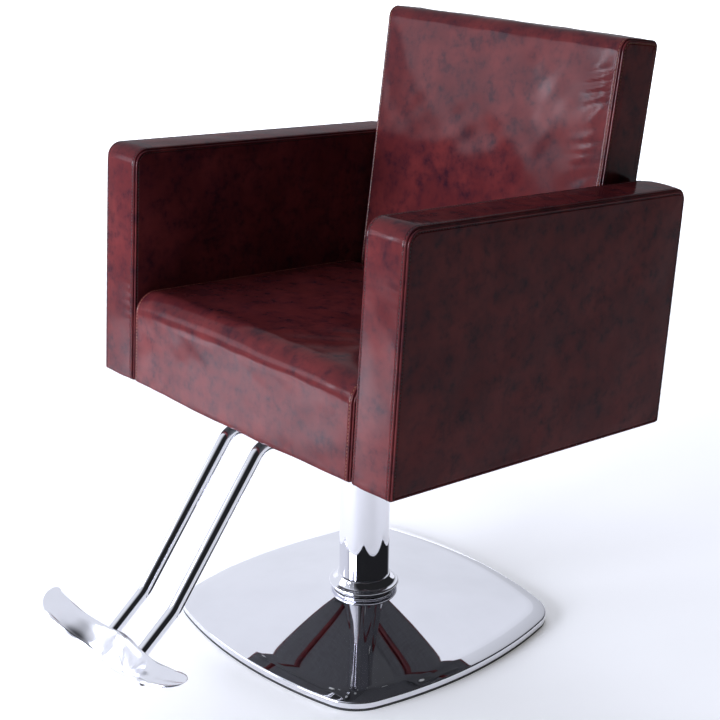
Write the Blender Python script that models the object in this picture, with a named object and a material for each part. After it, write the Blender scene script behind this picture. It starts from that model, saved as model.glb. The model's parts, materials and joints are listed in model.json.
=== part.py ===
"""Hydraulic barber chair: a box armchair on a pumped column, with a pressed square base and a footrest.

The origin is on the floor at the column's axis, +Z is up and the sitter faces -Y. Lengths are in metres.
"""

import math

import bmesh
import bpy
from mathutils import Matrix, Vector

# --- driving dimensions ---------------------------------------------------------------------------
GAP = 0.0003  # clearance between pieces that touch

SEAT_HEIGHT = 0.374  # underside of the seat above the floor, on the column's axis
SEAT_TILT = math.radians(3.5)  # the whole seat leans back by this much
SEAT_INNER_WIDTH = 0.510
ARM_THICKNESS = 0.077
ARM_FRONT = -0.260
ARM_REAR = 0.300
ARM_HEIGHT = 0.362
ARM_FRONT_CORNER = 0.023
ARM_REAR_CORNER = 0.018
CUSHION_HEIGHT = 0.144
CUSHION_REAR = 0.184
CUSHION_LIP = 0.030
BACK_HINGE_Y = 0.186  # where the front of the back meets the underside
BACK_LEAN = math.radians(4.3)
BACK_WIDTH = 0.490
BACK_HEIGHT = 0.571
BACK_THICKNESS = 0.083
COVER_THICKNESS = 0.0025
SOFT_EDGE = 0.008

BOARD_BOTTOM = 0.0016
BOARD_THICKNESS = 0.018
ARM_BOARD = 0.018
BACK_BOARD = 0.015
BACK_BOARD_FRONT = 0.030  # foam in front of the back's board
FRAME_THICKNESS = 0.005
BAR_REACH = 0.306
BAR_HALF_WIDTH = 0.0175
BAR_Y = 0.130
PLATE_HALF_X = 0.085
PLATE_HALF_Y = 0.150
BOLT_RADIUS = 0.004
BOLT_HEAD_RADIUS = 0.0075
BOLT_HEAD_HEIGHT = 0.005
SEAT_BOLT_X = 0.065
SEAT_BOLT_Y = 0.075

BASE_HALF = 0.251
BASE_BULGE = 0.021
BASE_CORNER = 0.072
BASE_SHEET = 0.002
BASE_FOOT = 0.0048
BASE_EDGE_TOP = 0.0120
BASE_RIM_TOP = 0.0205
BASE_RIM_BAND = 0.022
BASE_DOME_POWER = 1.10
BASE_TOP = 0.0520
BASE_HOLE = 0.0370
TRIM_HEIGHT = 0.0045
TRIM_WIDTH = 0.009
MAT_THICKNESS = 0.003
PLATE_THICKNESS = 0.005

CYLINDER_RADIUS = 0.035
CYLINDER_WALL = 0.003
CYLINDER_BOTTOM = MAT_THICKNESS + PLATE_THICKNESS + 2 * GAP
CYLINDER_TOP = 0.305
COLLAR_TOP = 0.0740
COLLAR_RADIUS = 0.0562
BODY_TOP = 0.0900
TUBE_RADIUS = 0.0240
TUBE_BORE = 0.0205
TUBE_TOP = 0.275
RAM_RADIUS = 0.0175
RAM_SHOULDER = 0.330
RAM_TOP = 0.356
SPIGOT_RADIUS = 0.011
PISTON_BOTTOM = 0.0960
PISTON_TOP = 0.1120
SLEEVE_RADIUS = 0.040
SLEEVE_WALL = 0.0025
SLEEVE_TOP = 0.3655
HUB_RADIUS = 0.032
HUB_BOTTOM = 0.326

PEDAL_HEADING = math.radians(135)  # the pedal comes out at the rear left
PEDAL_PIVOT_Z = 0.067
PEDAL_REACH = 0.285
PEDAL_BEND = 0.045
PEDAL_RISE = math.radians(14)
LEVER_DEPTH = 0.006
LEVER_WIDTH = 0.009
SLOT_WIDTH = 0.012
PIN_RADIUS = 0.003
PLUNGER_REACH = 0.021
PLUNGER_RADIUS = 0.0035
PLUNGER_HEAD = 0.0055
CHAMBER_FLOOR = 0.050
CHAMBER_TOP = 0.076

FOOT_TUBE_RADIUS = 0.0095
FOOT_TUBE_X = 0.0375
FOOT_TUBE_DROP = 0.0176  # below the seat's underside
FOOT_KNEE = (-0.3955, 0.162)
FOOT_END = (-0.4580, 0.1115)
FOOT_SLOPE = 1.322
PLATE_REACH = 0.170
PLATE_STATIONS = [0.0, 0.03, 0.06, 0.09, 0.12, 0.145]  # distances from the middle
PLATE_FRONT = [
    (-0.4765, 0.078),
    (-0.480, 0.085),
    (-0.490, 0.099),
    (-0.505, 0.117),
    (-0.510, 0.128),
    (-0.503, 0.131),
]
PLATE_REAR = [
    (-0.457, 0.130),
    (-0.458, 0.127),
    (-0.461, 0.127),
    (-0.466, 0.131),
    (-0.469, 0.138),
    (-0.469, 0.142),
]
PLATE_SWEEP = (0.50, 0.05)  # how the round ends lean back and up, per metre outwards
BUFFER_STAND = 0.0034

ROUND = 32  # sides of a large turned piece
SMALL_ROUND = 16


# --- materials ------------------------------------------------------------------------------------
def make_material(name, colour, roughness, metallic):
    """Return a Principled material of one plain finish."""
    material = bpy.data.materials.new(name)
    material.use_nodes = True
    shader = material.node_tree.nodes["Principled BSDF"]
    shader.inputs["Base Color"].default_value = (*colour, 1.0)
    shader.inputs["Roughness"].default_value = roughness
    shader.inputs["Metallic"].default_value = metallic
    material.diffuse_color = (*colour, 1.0)
    return material


def make_finishes():
    """Return the chair's finishes by name."""
    return {
        "chrome": make_material("chrome", (0.86, 0.86, 0.88), 0.08, 1.0),
        "leather": make_material("leather", (0.16, 0.035, 0.03), 0.35, 0.0),
        "foam": make_material("foam", (0.75, 0.68, 0.50), 0.95, 0.0),
        "plywood": make_material("plywood", (0.55, 0.38, 0.22), 0.7, 0.0),
        "cloth": make_material("cloth", (0.02, 0.02, 0.022), 0.95, 0.0),
        "black_steel": make_material("black_steel", (0.03, 0.03, 0.033), 0.5, 0.4),
        "machined": make_material("machined", (0.55, 0.56, 0.58), 0.3, 1.0),
        "cast": make_material("cast", (0.20, 0.20, 0.21), 0.65, 0.7),
        "bronze": make_material("bronze", (0.62, 0.42, 0.18), 0.35, 1.0),
        "zinc": make_material("zinc", (0.60, 0.60, 0.58), 0.35, 1.0),
        "rubber": make_material("rubber", (0.015, 0.015, 0.016), 0.85, 0.0),
    }


# --- mesh helpers ---------------------------------------------------------------------------------
def add_object(name, mesh, finish, parent=None):
    """Put a mesh in the scene as one named sub-part."""
    obj = bpy.data.objects.new(name, mesh)
    mesh.materials.append(finish)
    mesh.shade_smooth()
    mesh.set_sharp_from_angle(angle=math.radians(35))
    bpy.context.scene.collection.objects.link(obj)
    obj.parent = parent
    return obj


def finish_mesh(name, bm):
    """Turn a bmesh into a mesh whose faces point out."""
    bmesh.ops.remove_doubles(bm, verts=bm.verts, dist=1e-6)
    bmesh.ops.recalc_face_normals(bm, faces=bm.faces)
    mesh = bpy.data.meshes.new(name)
    bm.to_mesh(mesh)
    bm.free()
    return mesh


def loft(name, rings, closed_ends=True):
    """Return a mesh through rings of equal length, with a flat cap on each end ring."""
    bm = bmesh.new()
    loops = [[bm.verts.new(point) for point in ring] for ring in rings]
    count = len(rings[0])
    pairs = list(zip(loops, loops[1:]))
    if not closed_ends:
        pairs.append((loops[-1], loops[0]))
    for lower, upper in pairs:
        for i in range(count):
            j = (i + 1) % count
            bm.faces.new((lower[i], lower[j], upper[j], upper[i]))
    if closed_ends:
        bm.faces.new(loops[0][::-1])
        bm.faces.new(loops[-1])
    return finish_mesh(name, bm)


def circle(radius, z, sides, centre=(0.0, 0.0)):
    """Return the points of a level circle."""
    turn = 2 * math.pi / sides
    return [
        (centre[0] + radius * math.cos(i * turn), centre[1] + radius * math.sin(i * turn), z)
        for i in range(sides)
    ]


def turned_ring(name, profile, sides=ROUND):
    """Return a ring turned about Z from a closed profile of (radius, height) points."""
    return loft(name, [circle(radius, z, sides) for radius, z in profile], closed_ends=False)


def turned_bar(name, profile, sides=ROUND, centre=(0.0, 0.0)):
    """Return a solid turned about a vertical axis from an open profile of (radius, height) points."""
    return loft(name, [circle(radius, z, sides, centre) for radius, z in profile])


def prism(name, outline, low, high, axis="Z"):
    """Return an outline of (a, b) points drawn out along an axis, X with (y, z) or Z with (x, y)."""
    if axis == "X":
        rings = [[(level, a, b) for a, b in outline] for level in (low, high)]
    elif axis == "Y":
        rings = [[(a, level, b) for a, b in outline] for level in (low, high)]
    else:
        rings = [[(a, b, level) for a, b in outline] for level in (low, high)]
    return loft(name, rings)


def box_outline(low_a, high_a, low_b, high_b):
    """Return a rectangle's four corners."""
    return [(low_a, low_b), (high_a, low_b), (high_a, high_b), (low_a, high_b)]


def rounded_outline(corners, radii, steps=5):
    """Return a polygon whose corners are replaced by arcs of the given radii."""
    points = []
    count = len(corners)
    for i, (corner, radius) in enumerate(zip(corners, radii)):
        here = Vector(corner)
        before = (Vector(corners[i - 1]) - here).normalized()
        after = (Vector(corners[(i + 1) % count]) - here).normalized()
        if radius <= 0:
            points.append(tuple(here))
            continue
        half = before.angle(after) / 2
        centre = here + (before + after).normalized() * radius / math.sin(half)
        start = here + before * radius / math.tan(half) - centre
        end = here + after * radius / math.tan(half) - centre
        sweep = start.angle_signed(end)
        for k in range(steps + 1):
            turn = Matrix.Rotation(-sweep * k / steps, 2)
            points.append(tuple(centre + turn @ start))
    return points


def bevel(obj, width, segments, angle):
    """Round the edges of an object that are sharper than an angle."""
    modifier = obj.modifiers.new("soft_edges", "BEVEL")
    modifier.width = width
    modifier.segments = segments
    modifier.limit_method = "ANGLE"
    modifier.angle_limit = math.radians(angle)
    return obj


def combine(obj, cutter_mesh, operation="DIFFERENCE", parent=None, matrix=None):
    """Cut a mesh out of an object, or join it on, with a Boolean modifier."""
    cutter = bpy.data.objects.new(f"{obj.name}.cutter", cutter_mesh)
    bpy.context.scene.collection.objects.link(cutter)
    cutter.parent = parent if parent is not None else obj.parent
    if matrix is not None:
        cutter.matrix_local = matrix
    cutter.hide_render = True
    cutter.display_type = "WIRE"
    modifier = obj.modifiers.new("cut", "BOOLEAN")
    modifier.operation = operation
    modifier.solver = "EXACT"
    modifier.object = cutter
    return obj


def add_empty(name, location, rotation, parent=None):
    """Return an empty that holds the axes of a group of pieces."""
    empty = bpy.data.objects.new(name, None)
    empty.location = location
    empty.rotation_euler = rotation
    empty.parent = parent
    bpy.context.scene.collection.objects.link(empty)
    return empty


# --- base -----------------------------------------------------------------------------------------
def base_outline(inset, side_steps=6, corner_steps=5):
    """Return the base's outline, a square with bulging sides and round corners, drawn in by an inset."""
    corner = BASE_CORNER - inset
    half = BASE_HALF - BASE_CORNER - BASE_BULGE
    side_radius = (half**2 + BASE_BULGE**2) / (2 * BASE_BULGE)
    sweep = math.asin(half / side_radius)
    side_centre = half + BASE_BULGE - side_radius
    quarter = []
    for k in range(side_steps):
        angle = -sweep + 2 * sweep * k / side_steps
        reach = side_radius + corner
        quarter.append(Vector((side_centre + reach * math.cos(angle), reach * math.sin(angle))))
    for k in range(corner_steps):
        angle = sweep + (math.pi / 2 - 2 * sweep) * k / corner_steps
        quarter.append(Vector((half + corner * math.cos(angle), half + corner * math.sin(angle))))
    points = []
    for turn in range(4):
        rotation = Matrix.Rotation(turn * math.pi / 2, 2)
        points.extend(tuple(rotation @ point) for point in quarter)
    return points


def base_ring(inset, z):
    """Return a ring of the base's outline at a height."""
    return [(x, y, z) for x, y in base_outline(inset)]


def dome_ring(share, drop):
    """Return a ring of the dome, from the rim at 0 to the hole at 1, lowered by the sheet's thickness."""
    ring = []
    for x, y in base_outline(BASE_RIM_BAND):
        reach = math.hypot(x, y)
        radius = reach + (BASE_HOLE - reach) * share
        height = BASE_RIM_TOP + (BASE_TOP - BASE_RIM_TOP) * share**BASE_DOME_POWER
        ring.append((x / reach * radius, y / reach * radius, height - drop))
    return ring


def build_base(finishes):
    """Build the pressed base with its mat, weight plate and edge trim."""
    add_object("floor_mat", prism("floor_mat", base_outline(0.0103), 0.0, MAT_THICKNESS), finishes["rubber"])
    trim = [(0.0005, 0.0), (0.0005, TRIM_HEIGHT), (TRIM_WIDTH, TRIM_HEIGHT), (TRIM_WIDTH, 0.0)]
    trim_mesh = loft("edge_trim", [base_ring(inset, z) for inset, z in trim], closed_ends=False)
    add_object("edge_trim", trim_mesh, finishes["rubber"])
    plate_bottom = MAT_THICKNESS + GAP
    plate = prism("floor_plate", base_outline(0.012), plate_bottom, plate_bottom + PLATE_THICKNESS)
    add_object("floor_plate", plate, finishes["black_steel"])

    shares = [0.0, 0.2, 0.4, 0.6, 0.8, 1.0]
    outside = [base_ring(0.0, BASE_FOOT), base_ring(0.0, BASE_EDGE_TOP), base_ring(0.0025, 0.0145)]
    outside += [dome_ring(share, 0.0) for share in shares]
    inside = [dome_ring(share, BASE_SHEET) for share in reversed(shares)]
    inside += [base_ring(0.0045, 0.0135), base_ring(BASE_SHEET, BASE_FOOT)]
    add_object("base_shell", loft("base_shell", outside + inside, closed_ends=False), finishes["chrome"])


# --- column ---------------------------------------------------------------------------------------
def slot_cutter(name, start, end, low, high):
    """Return the block that clears the pedal lever, in the pedal's own axes."""
    return prism(name, box_outline(start, end, -SLOT_WIDTH / 2, SLOT_WIDTH / 2), low, high)


def build_pump(finishes, heading):
    """Build the pump: flange, cylinder, collar, body, pressure tube, guide bush and wiper."""
    bore = CYLINDER_RADIUS - CYLINDER_WALL
    flange_bore = CYLINDER_RADIUS + GAP
    flange = [
        (flange_bore, CYLINDER_BOTTOM),
        (0.060, CYLINDER_BOTTOM),
        (0.060, CYLINDER_BOTTOM + 0.005),
        (flange_bore, CYLINDER_BOTTOM + 0.006),
    ]
    add_object("pump_flange", turned_ring("pump_flange", flange), finishes["black_steel"])

    wall = [
        (bore, CYLINDER_BOTTOM),
        (CYLINDER_RADIUS, CYLINDER_BOTTOM),
        (CYLINDER_RADIUS, CYLINDER_TOP),
        (bore, CYLINDER_TOP),
    ]
    cylinder = add_object("pump_cylinder", turned_ring("pump_cylinder", wall), finishes["chrome"])
    combine(cylinder, slot_cutter("cylinder_slot", 0.020, 0.050, 0.0525, 0.0735), parent=heading)

    flank = [
        (0.0355, 0.0523),
        (0.0515, 0.0508),
        (0.0520, 0.0545),
        (0.0545, 0.0555),
        (COLLAR_RADIUS, 0.0585),
        (0.0545, 0.0613),
        (0.0510, 0.0625),
        (0.0425, COLLAR_TOP),
        (0.0355, COLLAR_TOP),
    ]
    collar = add_object("collar_ring", turned_ring("collar_ring", flank), finishes["chrome"])
    combine(collar, slot_cutter("collar_slot", 0.020, 0.070, 0.0480, 0.0800), parent=heading)

    body_radius = bore - 2 * GAP
    body_mesh = turned_bar("pump_body", [(body_radius, CYLINDER_BOTTOM), (body_radius, BODY_TOP)], ROUND)
    body = add_object("pump_body", body_mesh, finishes["cast"])
    combine(body, slot_cutter("chamber", -0.012, 0.050, CHAMBER_FLOOR, CHAMBER_TOP), parent=heading)
    bore_profile = [(PLUNGER_RADIUS + GAP, 0.025), (PLUNGER_RADIUS + GAP, CHAMBER_FLOOR + 0.001)]
    plunger_bore = turned_bar("plunger_bore", bore_profile, SMALL_ROUND, (PLUNGER_REACH, 0.0))
    combine(body, plunger_bore, parent=heading)
    combine(body, cross_hole("pin_bore", 0.0203), parent=heading)

    tube_bottom = BODY_TOP + GAP
    tube = box_outline(TUBE_BORE, TUBE_RADIUS, tube_bottom, TUBE_TOP)
    add_object("pressure_tube", turned_ring("pressure_tube", tube), finishes["machined"])

    rod_bore = RAM_RADIUS + GAP
    bush_radius = bore - GAP
    bush = [
        (rod_bore, TUBE_TOP + GAP),
        (bush_radius, TUBE_TOP + GAP),
        (bush_radius, CYLINDER_TOP - 0.001),
        (rod_bore, CYLINDER_TOP - 0.001),
    ]
    add_object("guide_bush", turned_ring("guide_bush", bush), finishes["bronze"])
    wiper_bottom = CYLINDER_TOP - 0.0007
    wiper = [
        (rod_bore, wiper_bottom),
        (0.0240, wiper_bottom),
        (0.0240, wiper_bottom + 0.002),
        (rod_bore + 0.0012, wiper_bottom + 0.0045),
        (rod_bore, wiper_bottom + 0.0045),
    ]
    add_object("wiper_seal", turned_ring("wiper_seal", wiper), finishes["rubber"])


def cross_hole(name, reach):
    """Return a bar along the pedal's axis, which clears the pedal pin."""
    points = [(x, PEDAL_PIVOT_Z + z) for x, z, _ in circle(PIN_RADIUS + GAP, 0.0, 16)]
    return prism(name, points, -reach, reach, "Y")


def build_pedal(finishes, heading):
    """Build the pump pedal: pin, lever, pad, plunger and return spring, in the pedal's own axes."""
    pin = [(x, PEDAL_PIVOT_Z + z) for x, z, _ in circle(PIN_RADIUS, 0.0, 16)]
    add_object("pedal_pin", prism("pedal_pin", pin, -0.0195, 0.0195, "Y"), finishes["machined"], heading)

    half = LEVER_DEPTH / 2
    rise = math.tan(PEDAL_RISE)
    end_height = PEDAL_PIVOT_Z + (PEDAL_REACH - PEDAL_BEND) * rise
    boss = []
    for k in range(9):
        angle = math.radians(60 + 240 * k / 8)
        boss.append((0.0065 * math.cos(angle), PEDAL_PIVOT_Z + 0.0065 * math.sin(angle)))
    bar = [
        (PEDAL_BEND, PEDAL_PIVOT_Z - half),
        (PEDAL_REACH, end_height - half),
        (PEDAL_REACH, end_height + half),
        (PEDAL_BEND, PEDAL_PIVOT_Z + half),
    ]
    lever_outline = boss + [(0.0085, PEDAL_PIVOT_Z - half)] + bar + [(0.0085, PEDAL_PIVOT_Z + half)]
    lever_mesh = prism("pedal_lever", lever_outline, -LEVER_WIDTH / 2, LEVER_WIDTH / 2, "Y")
    pivot = Matrix.Translation((0.0, 0.0, PEDAL_PIVOT_Z))
    lever_mesh.transform(pivot.inverted())
    lever = add_object("pedal_lever", lever_mesh, finishes["chrome"], heading)
    lever.location = (0.0, 0.0, PEDAL_PIVOT_Z)
    combine(lever, cross_hole("lever_eye", 0.02), parent=heading)

    pad_length = 0.056
    pad_centre = PEDAL_REACH - 0.014
    pad_height = PEDAL_PIVOT_Z + (pad_centre - PEDAL_BEND) * rise
    pad_mesh = prism("pedal_pad", box_outline(-pad_length / 2, pad_length / 2, -0.030, 0.030), -0.008, 0.008)
    pad = bevel(add_object("pedal_pad", pad_mesh, finishes["rubber"], heading), 0.004, 2, 60)
    pad.location = (pad_centre, 0.0, pad_height)
    pad.rotation_euler = (0.0, -PEDAL_RISE, 0.0)
    socket = [
        (PEDAL_REACH - 0.060, end_height - 0.060 * rise - half - GAP),
        (PEDAL_REACH + GAP, end_height - half - GAP),
        (PEDAL_REACH + GAP, end_height + half + GAP),
        (PEDAL_REACH - 0.060, end_height - 0.060 * rise + half + GAP),
    ]
    socket_half = LEVER_WIDTH / 2 + GAP
    combine(pad, prism("pad_socket", socket, -socket_half, socket_half, "Y"), parent=heading)

    head_top = PEDAL_PIVOT_Z - half - 2 * GAP
    plunger = [
        (PLUNGER_RADIUS, 0.0300),
        (PLUNGER_RADIUS, head_top - 0.0030),
        (PLUNGER_HEAD, head_top - 0.0030),
        (PLUNGER_HEAD, head_top - 0.0015),
        (0.0015, head_top),
    ]
    axis = (PLUNGER_REACH, 0.0)
    plunger_mesh = turned_bar("pump_plunger", plunger, SMALL_ROUND, axis)
    add_object("pump_plunger", plunger_mesh, finishes["machined"], heading)
    spring_mesh = coil("plunger_spring", CHAMBER_FLOOR + 0.001, head_top - 0.0041, axis)
    add_object("plunger_spring", spring_mesh, finishes["zinc"], heading)


def coil(name, low, high, centre, turns=4, wire=0.0006, steps=10, sides=5):
    """Return a round-wire coil spring about a vertical axis."""
    mean = PLUNGER_HEAD - wire - GAP
    count = turns * steps
    rings = []
    for i in range(count + 1):
        angle = 2 * math.pi * i / steps
        z = low + (high - low) * i / count
        out = Vector((math.cos(angle), math.sin(angle), 0.0))
        middle = Vector((centre[0], centre[1], z)) + out * mean
        ring = []
        for k in range(sides):
            turn = 2 * math.pi * k / sides
            ring.append(middle + out * wire * math.cos(turn) + Vector((0, 0, wire * math.sin(turn))))
        rings.append(ring)
    return loft(name, rings)


def build_ram(finishes):
    """Build what the oil lifts: ram, piston head and seal, and the thrust bearing's lower half."""
    stud = 0.008
    ram = [
        (stud, PISTON_BOTTOM - 0.002),
        (stud, PISTON_TOP + GAP),
        (RAM_RADIUS, PISTON_TOP + GAP),
        (RAM_RADIUS, RAM_SHOULDER),
        (SPIGOT_RADIUS, RAM_SHOULDER),
        (SPIGOT_RADIUS, RAM_TOP - 0.001),
        (SPIGOT_RADIUS - 0.001, RAM_TOP),
    ]
    add_object("ram", turned_bar("ram", ram), finishes["machined"])
    groove_low = 0.1010
    groove_high = 0.1050
    groove_radius = 0.0174
    head_radius = TUBE_BORE - GAP
    head = [
        (stud + GAP, PISTON_BOTTOM),
        (head_radius, PISTON_BOTTOM),
        (head_radius, groove_low),
        (groove_radius, groove_low),
        (groove_radius, groove_high),
        (head_radius, groove_high),
        (head_radius, PISTON_TOP),
        (stud + GAP, PISTON_TOP),
    ]
    add_object("piston_head", turned_ring("piston_head", head), finishes["bronze"])
    seal = box_outline(groove_radius + GAP, head_radius, groove_low + GAP, groove_high - GAP)
    add_object("piston_seal", turned_ring("piston_seal", seal), finishes["rubber"])

    race = box_outline(SPIGOT_RADIUS + GAP, 0.0240, RAM_SHOULDER + GAP, RAM_SHOULDER + 0.005)
    add_object("lower_race", turned_ring("lower_race", race), finishes["machined"])
    cage_middle = RAM_SHOULDER + 0.0078
    cage = box_outline(0.0130, 0.0235, cage_middle - 0.0008, cage_middle + 0.0008)
    cage_object = add_object("ball_cage", turned_ring("ball_cage", cage, SMALL_ROUND), finishes["bronze"])
    balls = bmesh.new()
    for k in range(8):
        angle = 2 * math.pi * k / 8
        place = Matrix.Translation((0.018 * math.cos(angle), 0.018 * math.sin(angle), cage_middle))
        bmesh.ops.create_icosphere(balls, subdivisions=1, radius=0.0026, matrix=place)
    combine(cage_object, finish_mesh("balls", balls), "UNION")


def build_swivel(finishes, seat_axes):
    """Build what turns on the ram: upper race, hub and the sleeve that hides the pump."""
    race_low = RAM_SHOULDER + 0.0106
    race_high = race_low + 0.005
    race = box_outline(SPIGOT_RADIUS + 2 * GAP, 0.0240, race_low, race_high)
    add_object("upper_race", turned_ring("upper_race", race), finishes["machined"])

    sleeve_bore = SLEEVE_RADIUS - SLEEVE_WALL
    hub = [
        (0.0245, HUB_BOTTOM),
        (HUB_RADIUS, HUB_BOTTOM),
        (HUB_RADIUS, 0.350),
        (sleeve_bore - GAP, 0.352),
        (sleeve_bore - GAP, 0.390),
        (0.0, 0.390),
        (0.0, RAM_TOP + 0.002),
        (SPIGOT_RADIUS + 2 * GAP, RAM_TOP + 0.002),
        (SPIGOT_RADIUS + 2 * GAP, race_high + GAP),
        (0.0245, race_high + GAP),
    ]
    hub_object = add_object("swivel_hub", turned_ring("swivel_hub", hub), finishes["cast"])
    above = -FRAME_THICKNESS - 2 * GAP
    combine(hub_object, prism("above_hub", box_outline(-0.1, 0.1, -0.1, 0.1), above, 0.05), parent=seat_axes)

    sleeve_low = COLLAR_TOP + GAP
    sleeve = [
        (sleeve_bore, sleeve_low),
        (SLEEVE_RADIUS, sleeve_low),
        (SLEEVE_RADIUS, SLEEVE_TOP),
        (sleeve_bore, SLEEVE_TOP),
    ]
    add_object("column_sleeve", turned_ring("column_sleeve", sleeve), finishes["chrome"])


# --- seat -----------------------------------------------------------------------------------------
def bolt(name, finish, parent, place, shank_top, head_top, head_sides=6):
    """Add a bolt whose head hangs below head_top and whose shank runs up to shank_top."""
    profile = [
        (BOLT_HEAD_RADIUS, head_top - BOLT_HEAD_HEIGHT),
        (BOLT_HEAD_RADIUS, head_top),
        (BOLT_RADIUS, head_top),
        (BOLT_RADIUS, shank_top),
    ]
    rings = [circle(radius, z, 12) for radius, z in profile]
    for ring in rings[:2]:
        for i, (x, y, z) in enumerate(ring):
            corner = math.cos(math.pi / head_sides) if i % 2 else 1.0
            ring[i] = (x * corner, y * corner, z)
    obj = add_object(name, loft(name, rings), finish, parent)
    obj.location = (place[0], place[1], 0.0)
    return obj


def bolt_hole(place, low, high):
    """Return the clearance hole of a bolt."""
    radius = BOLT_RADIUS + GAP
    return turned_bar("bolt_hole", [(radius, low), (radius, high)], 12, place)


def frame_outline():
    """Return the outline of the steel seat frame: a centre plate with a cross bar at each end."""
    inner = BAR_Y - BAR_HALF_WIDTH
    outer = BAR_Y + BAR_HALF_WIDTH
    quarter = [(PLATE_HALF_X, inner), (BAR_REACH, inner), (BAR_REACH, outer), (PLATE_HALF_X, outer)]
    cap = [(PLATE_HALF_X, PLATE_HALF_Y)]
    right_rear = quarter + cap
    left_rear = [(-x, y) for x, y in reversed(right_rear)]
    left_front = [(-x, -y) for x, y in right_rear]
    right_front = [(x, -y) for x, y in reversed(right_rear)]
    return right_rear + left_rear + left_front + right_front


def build_seat(finishes, seat_axes):
    """Build the seat: steel frame, board, foam, cover, dust cover and bolts."""
    frame_top = -GAP
    frame_bottom = frame_top - FRAME_THICKNESS
    frame = prism("seat_frame", frame_outline(), frame_bottom, frame_top)
    frame_object = add_object("seat_frame", frame, finishes["black_steel"], seat_axes)

    half = SEAT_INNER_WIDTH / 2
    board_half = half - 0.025
    board_front = ARM_FRONT + 0.022
    board_rear = CUSHION_REAR - 0.012
    board_top = BOARD_BOTTOM + BOARD_THICKNESS
    board_outline = box_outline(-board_half, board_half, board_front, board_rear)
    board = prism("seat_board", board_outline, BOARD_BOTTOM, board_top)
    board_object = add_object("seat_board", board, finishes["plywood"], seat_axes)
    cloth_outline = box_outline(-board_half, board_half, board_front, board_rear)
    cloth = prism("dust_cover", cloth_outline, GAP, BOARD_BOTTOM - GAP)
    cloth_object = add_object("dust_cover", cloth, finishes["cloth"], seat_axes)

    number = 0
    for x in (-SEAT_BOLT_X, SEAT_BOLT_X):
        for y in (-SEAT_BOLT_Y, SEAT_BOLT_Y):
            number += 1
            head_top = frame_bottom - GAP
            bolt(f"seat_bolt_{number}", finishes["zinc"], seat_axes, (x, y), board_top - 0.002, head_top)
            combine(frame_object, bolt_hole((x, y), -0.02, 0.02))
            combine(cloth_object, bolt_hole((x, y), -0.02, 0.02))
            combine(board_object, bolt_hole((x, y), -0.02, board_top - 0.001))

    cover = soft_seat("seat_cover", 0.0, finishes["leather"], seat_axes)
    reach = half - 2 * GAP - COVER_THICKNESS
    combine(cover, prism("cover_pocket", seat_outline(COVER_THICKNESS, -0.01), -reach, reach, "X"))
    foam = soft_seat("seat_foam", COVER_THICKNESS + GAP, finishes["foam"], seat_axes)
    around = box_outline(-board_half - GAP, board_half + GAP, board_front - GAP, board_rear + GAP)
    combine(foam, prism("board_pocket", around, -0.01, board_top + GAP))
    return frame_object


def seat_outline(inset, bottom):
    """Return the seat cushion's side outline, drawn in by an inset and cut off at a bottom height."""
    front = ARM_FRONT + inset
    rear = CUSHION_REAR - inset
    top = CUSHION_HEIGHT - inset
    corners = [(front, bottom), (rear, bottom), (rear, top - 0.004), (rear - 0.2, top), (front, top)]
    return rounded_outline(corners, [0.0, 0.0, 0.012, 0.0, CUSHION_LIP - inset], 5)


def soft_seat(name, inset, finish, parent):
    """Add the seat's cover or foam block."""
    reach = SEAT_INNER_WIDTH / 2 - 2 * GAP - inset
    bottom = 0.0 if inset == 0.0 else GAP
    mesh = prism(name, seat_outline(inset, bottom), -reach, reach, "X")
    return add_object(name, mesh, finish, parent)


def arm_outline(inset, bottom):
    """Return an arm's side outline, drawn in by an inset and cut off at a bottom height."""
    front = ARM_FRONT + inset
    rear = ARM_REAR - inset
    top = ARM_HEIGHT - inset
    corners = [(front, bottom), (rear, bottom), (rear, top), (front, top)]
    return rounded_outline(corners, [0.0, 0.0, ARM_REAR_CORNER - inset, ARM_FRONT_CORNER - inset], 5)


def build_arm(finishes, seat_axes, frame_object, side, label):
    """Build one arm: plywood core, foam, cover and the two bolts that hold it to the frame."""
    inner = side * SEAT_INNER_WIDTH / 2
    outer = side * (SEAT_INNER_WIDTH / 2 + ARM_THICKNESS)
    middle = (inner + outer) / 2
    half = ARM_THICKNESS / 2

    cover_mesh = prism(f"arm_cover_{label}", arm_outline(0.0, 0.0), middle - half, middle + half, "X")
    cover = add_object(f"arm_cover_{label}", cover_mesh, finishes["leather"], seat_axes)
    reach = half - COVER_THICKNESS
    pocket = prism("arm_pocket", arm_outline(COVER_THICKNESS, -0.01), middle - reach, middle + reach, "X")
    bevel(cover, SOFT_EDGE / 2, 1, 60)
    combine(cover, pocket)

    foam_inset = COVER_THICKNESS + GAP
    reach = half - foam_inset
    foam_mesh = prism(f"arm_foam_{label}", arm_outline(foam_inset, GAP), middle - reach, middle + reach, "X")
    foam = add_object(f"arm_foam_{label}", foam_mesh, finishes["foam"], seat_axes)
    board_inset = 0.022
    board_half = ARM_BOARD / 2
    around = arm_outline(board_inset - GAP, -0.01)
    combine(foam, prism("board_pocket", around, middle - board_half - GAP, middle + board_half + GAP, "X"))
    core_outline = arm_outline(board_inset, GAP)
    core_mesh = prism(f"arm_core_{label}", core_outline, middle - board_half, middle + board_half, "X")
    core = add_object(f"arm_core_{label}", core_mesh, finishes["plywood"], seat_axes)

    for number, y in enumerate((-BAR_Y, BAR_Y), start=1):
        place = (middle, y)
        head_top = -FRAME_THICKNESS - 2 * GAP
        bolt(f"arm_bolt_{label}_{number}", finishes["zinc"], seat_axes, place, 0.040, head_top)
        combine(core, bolt_hole(place, -0.02, 0.041))
        combine(frame_object, bolt_hole(place, -0.02, 0.02))


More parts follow.
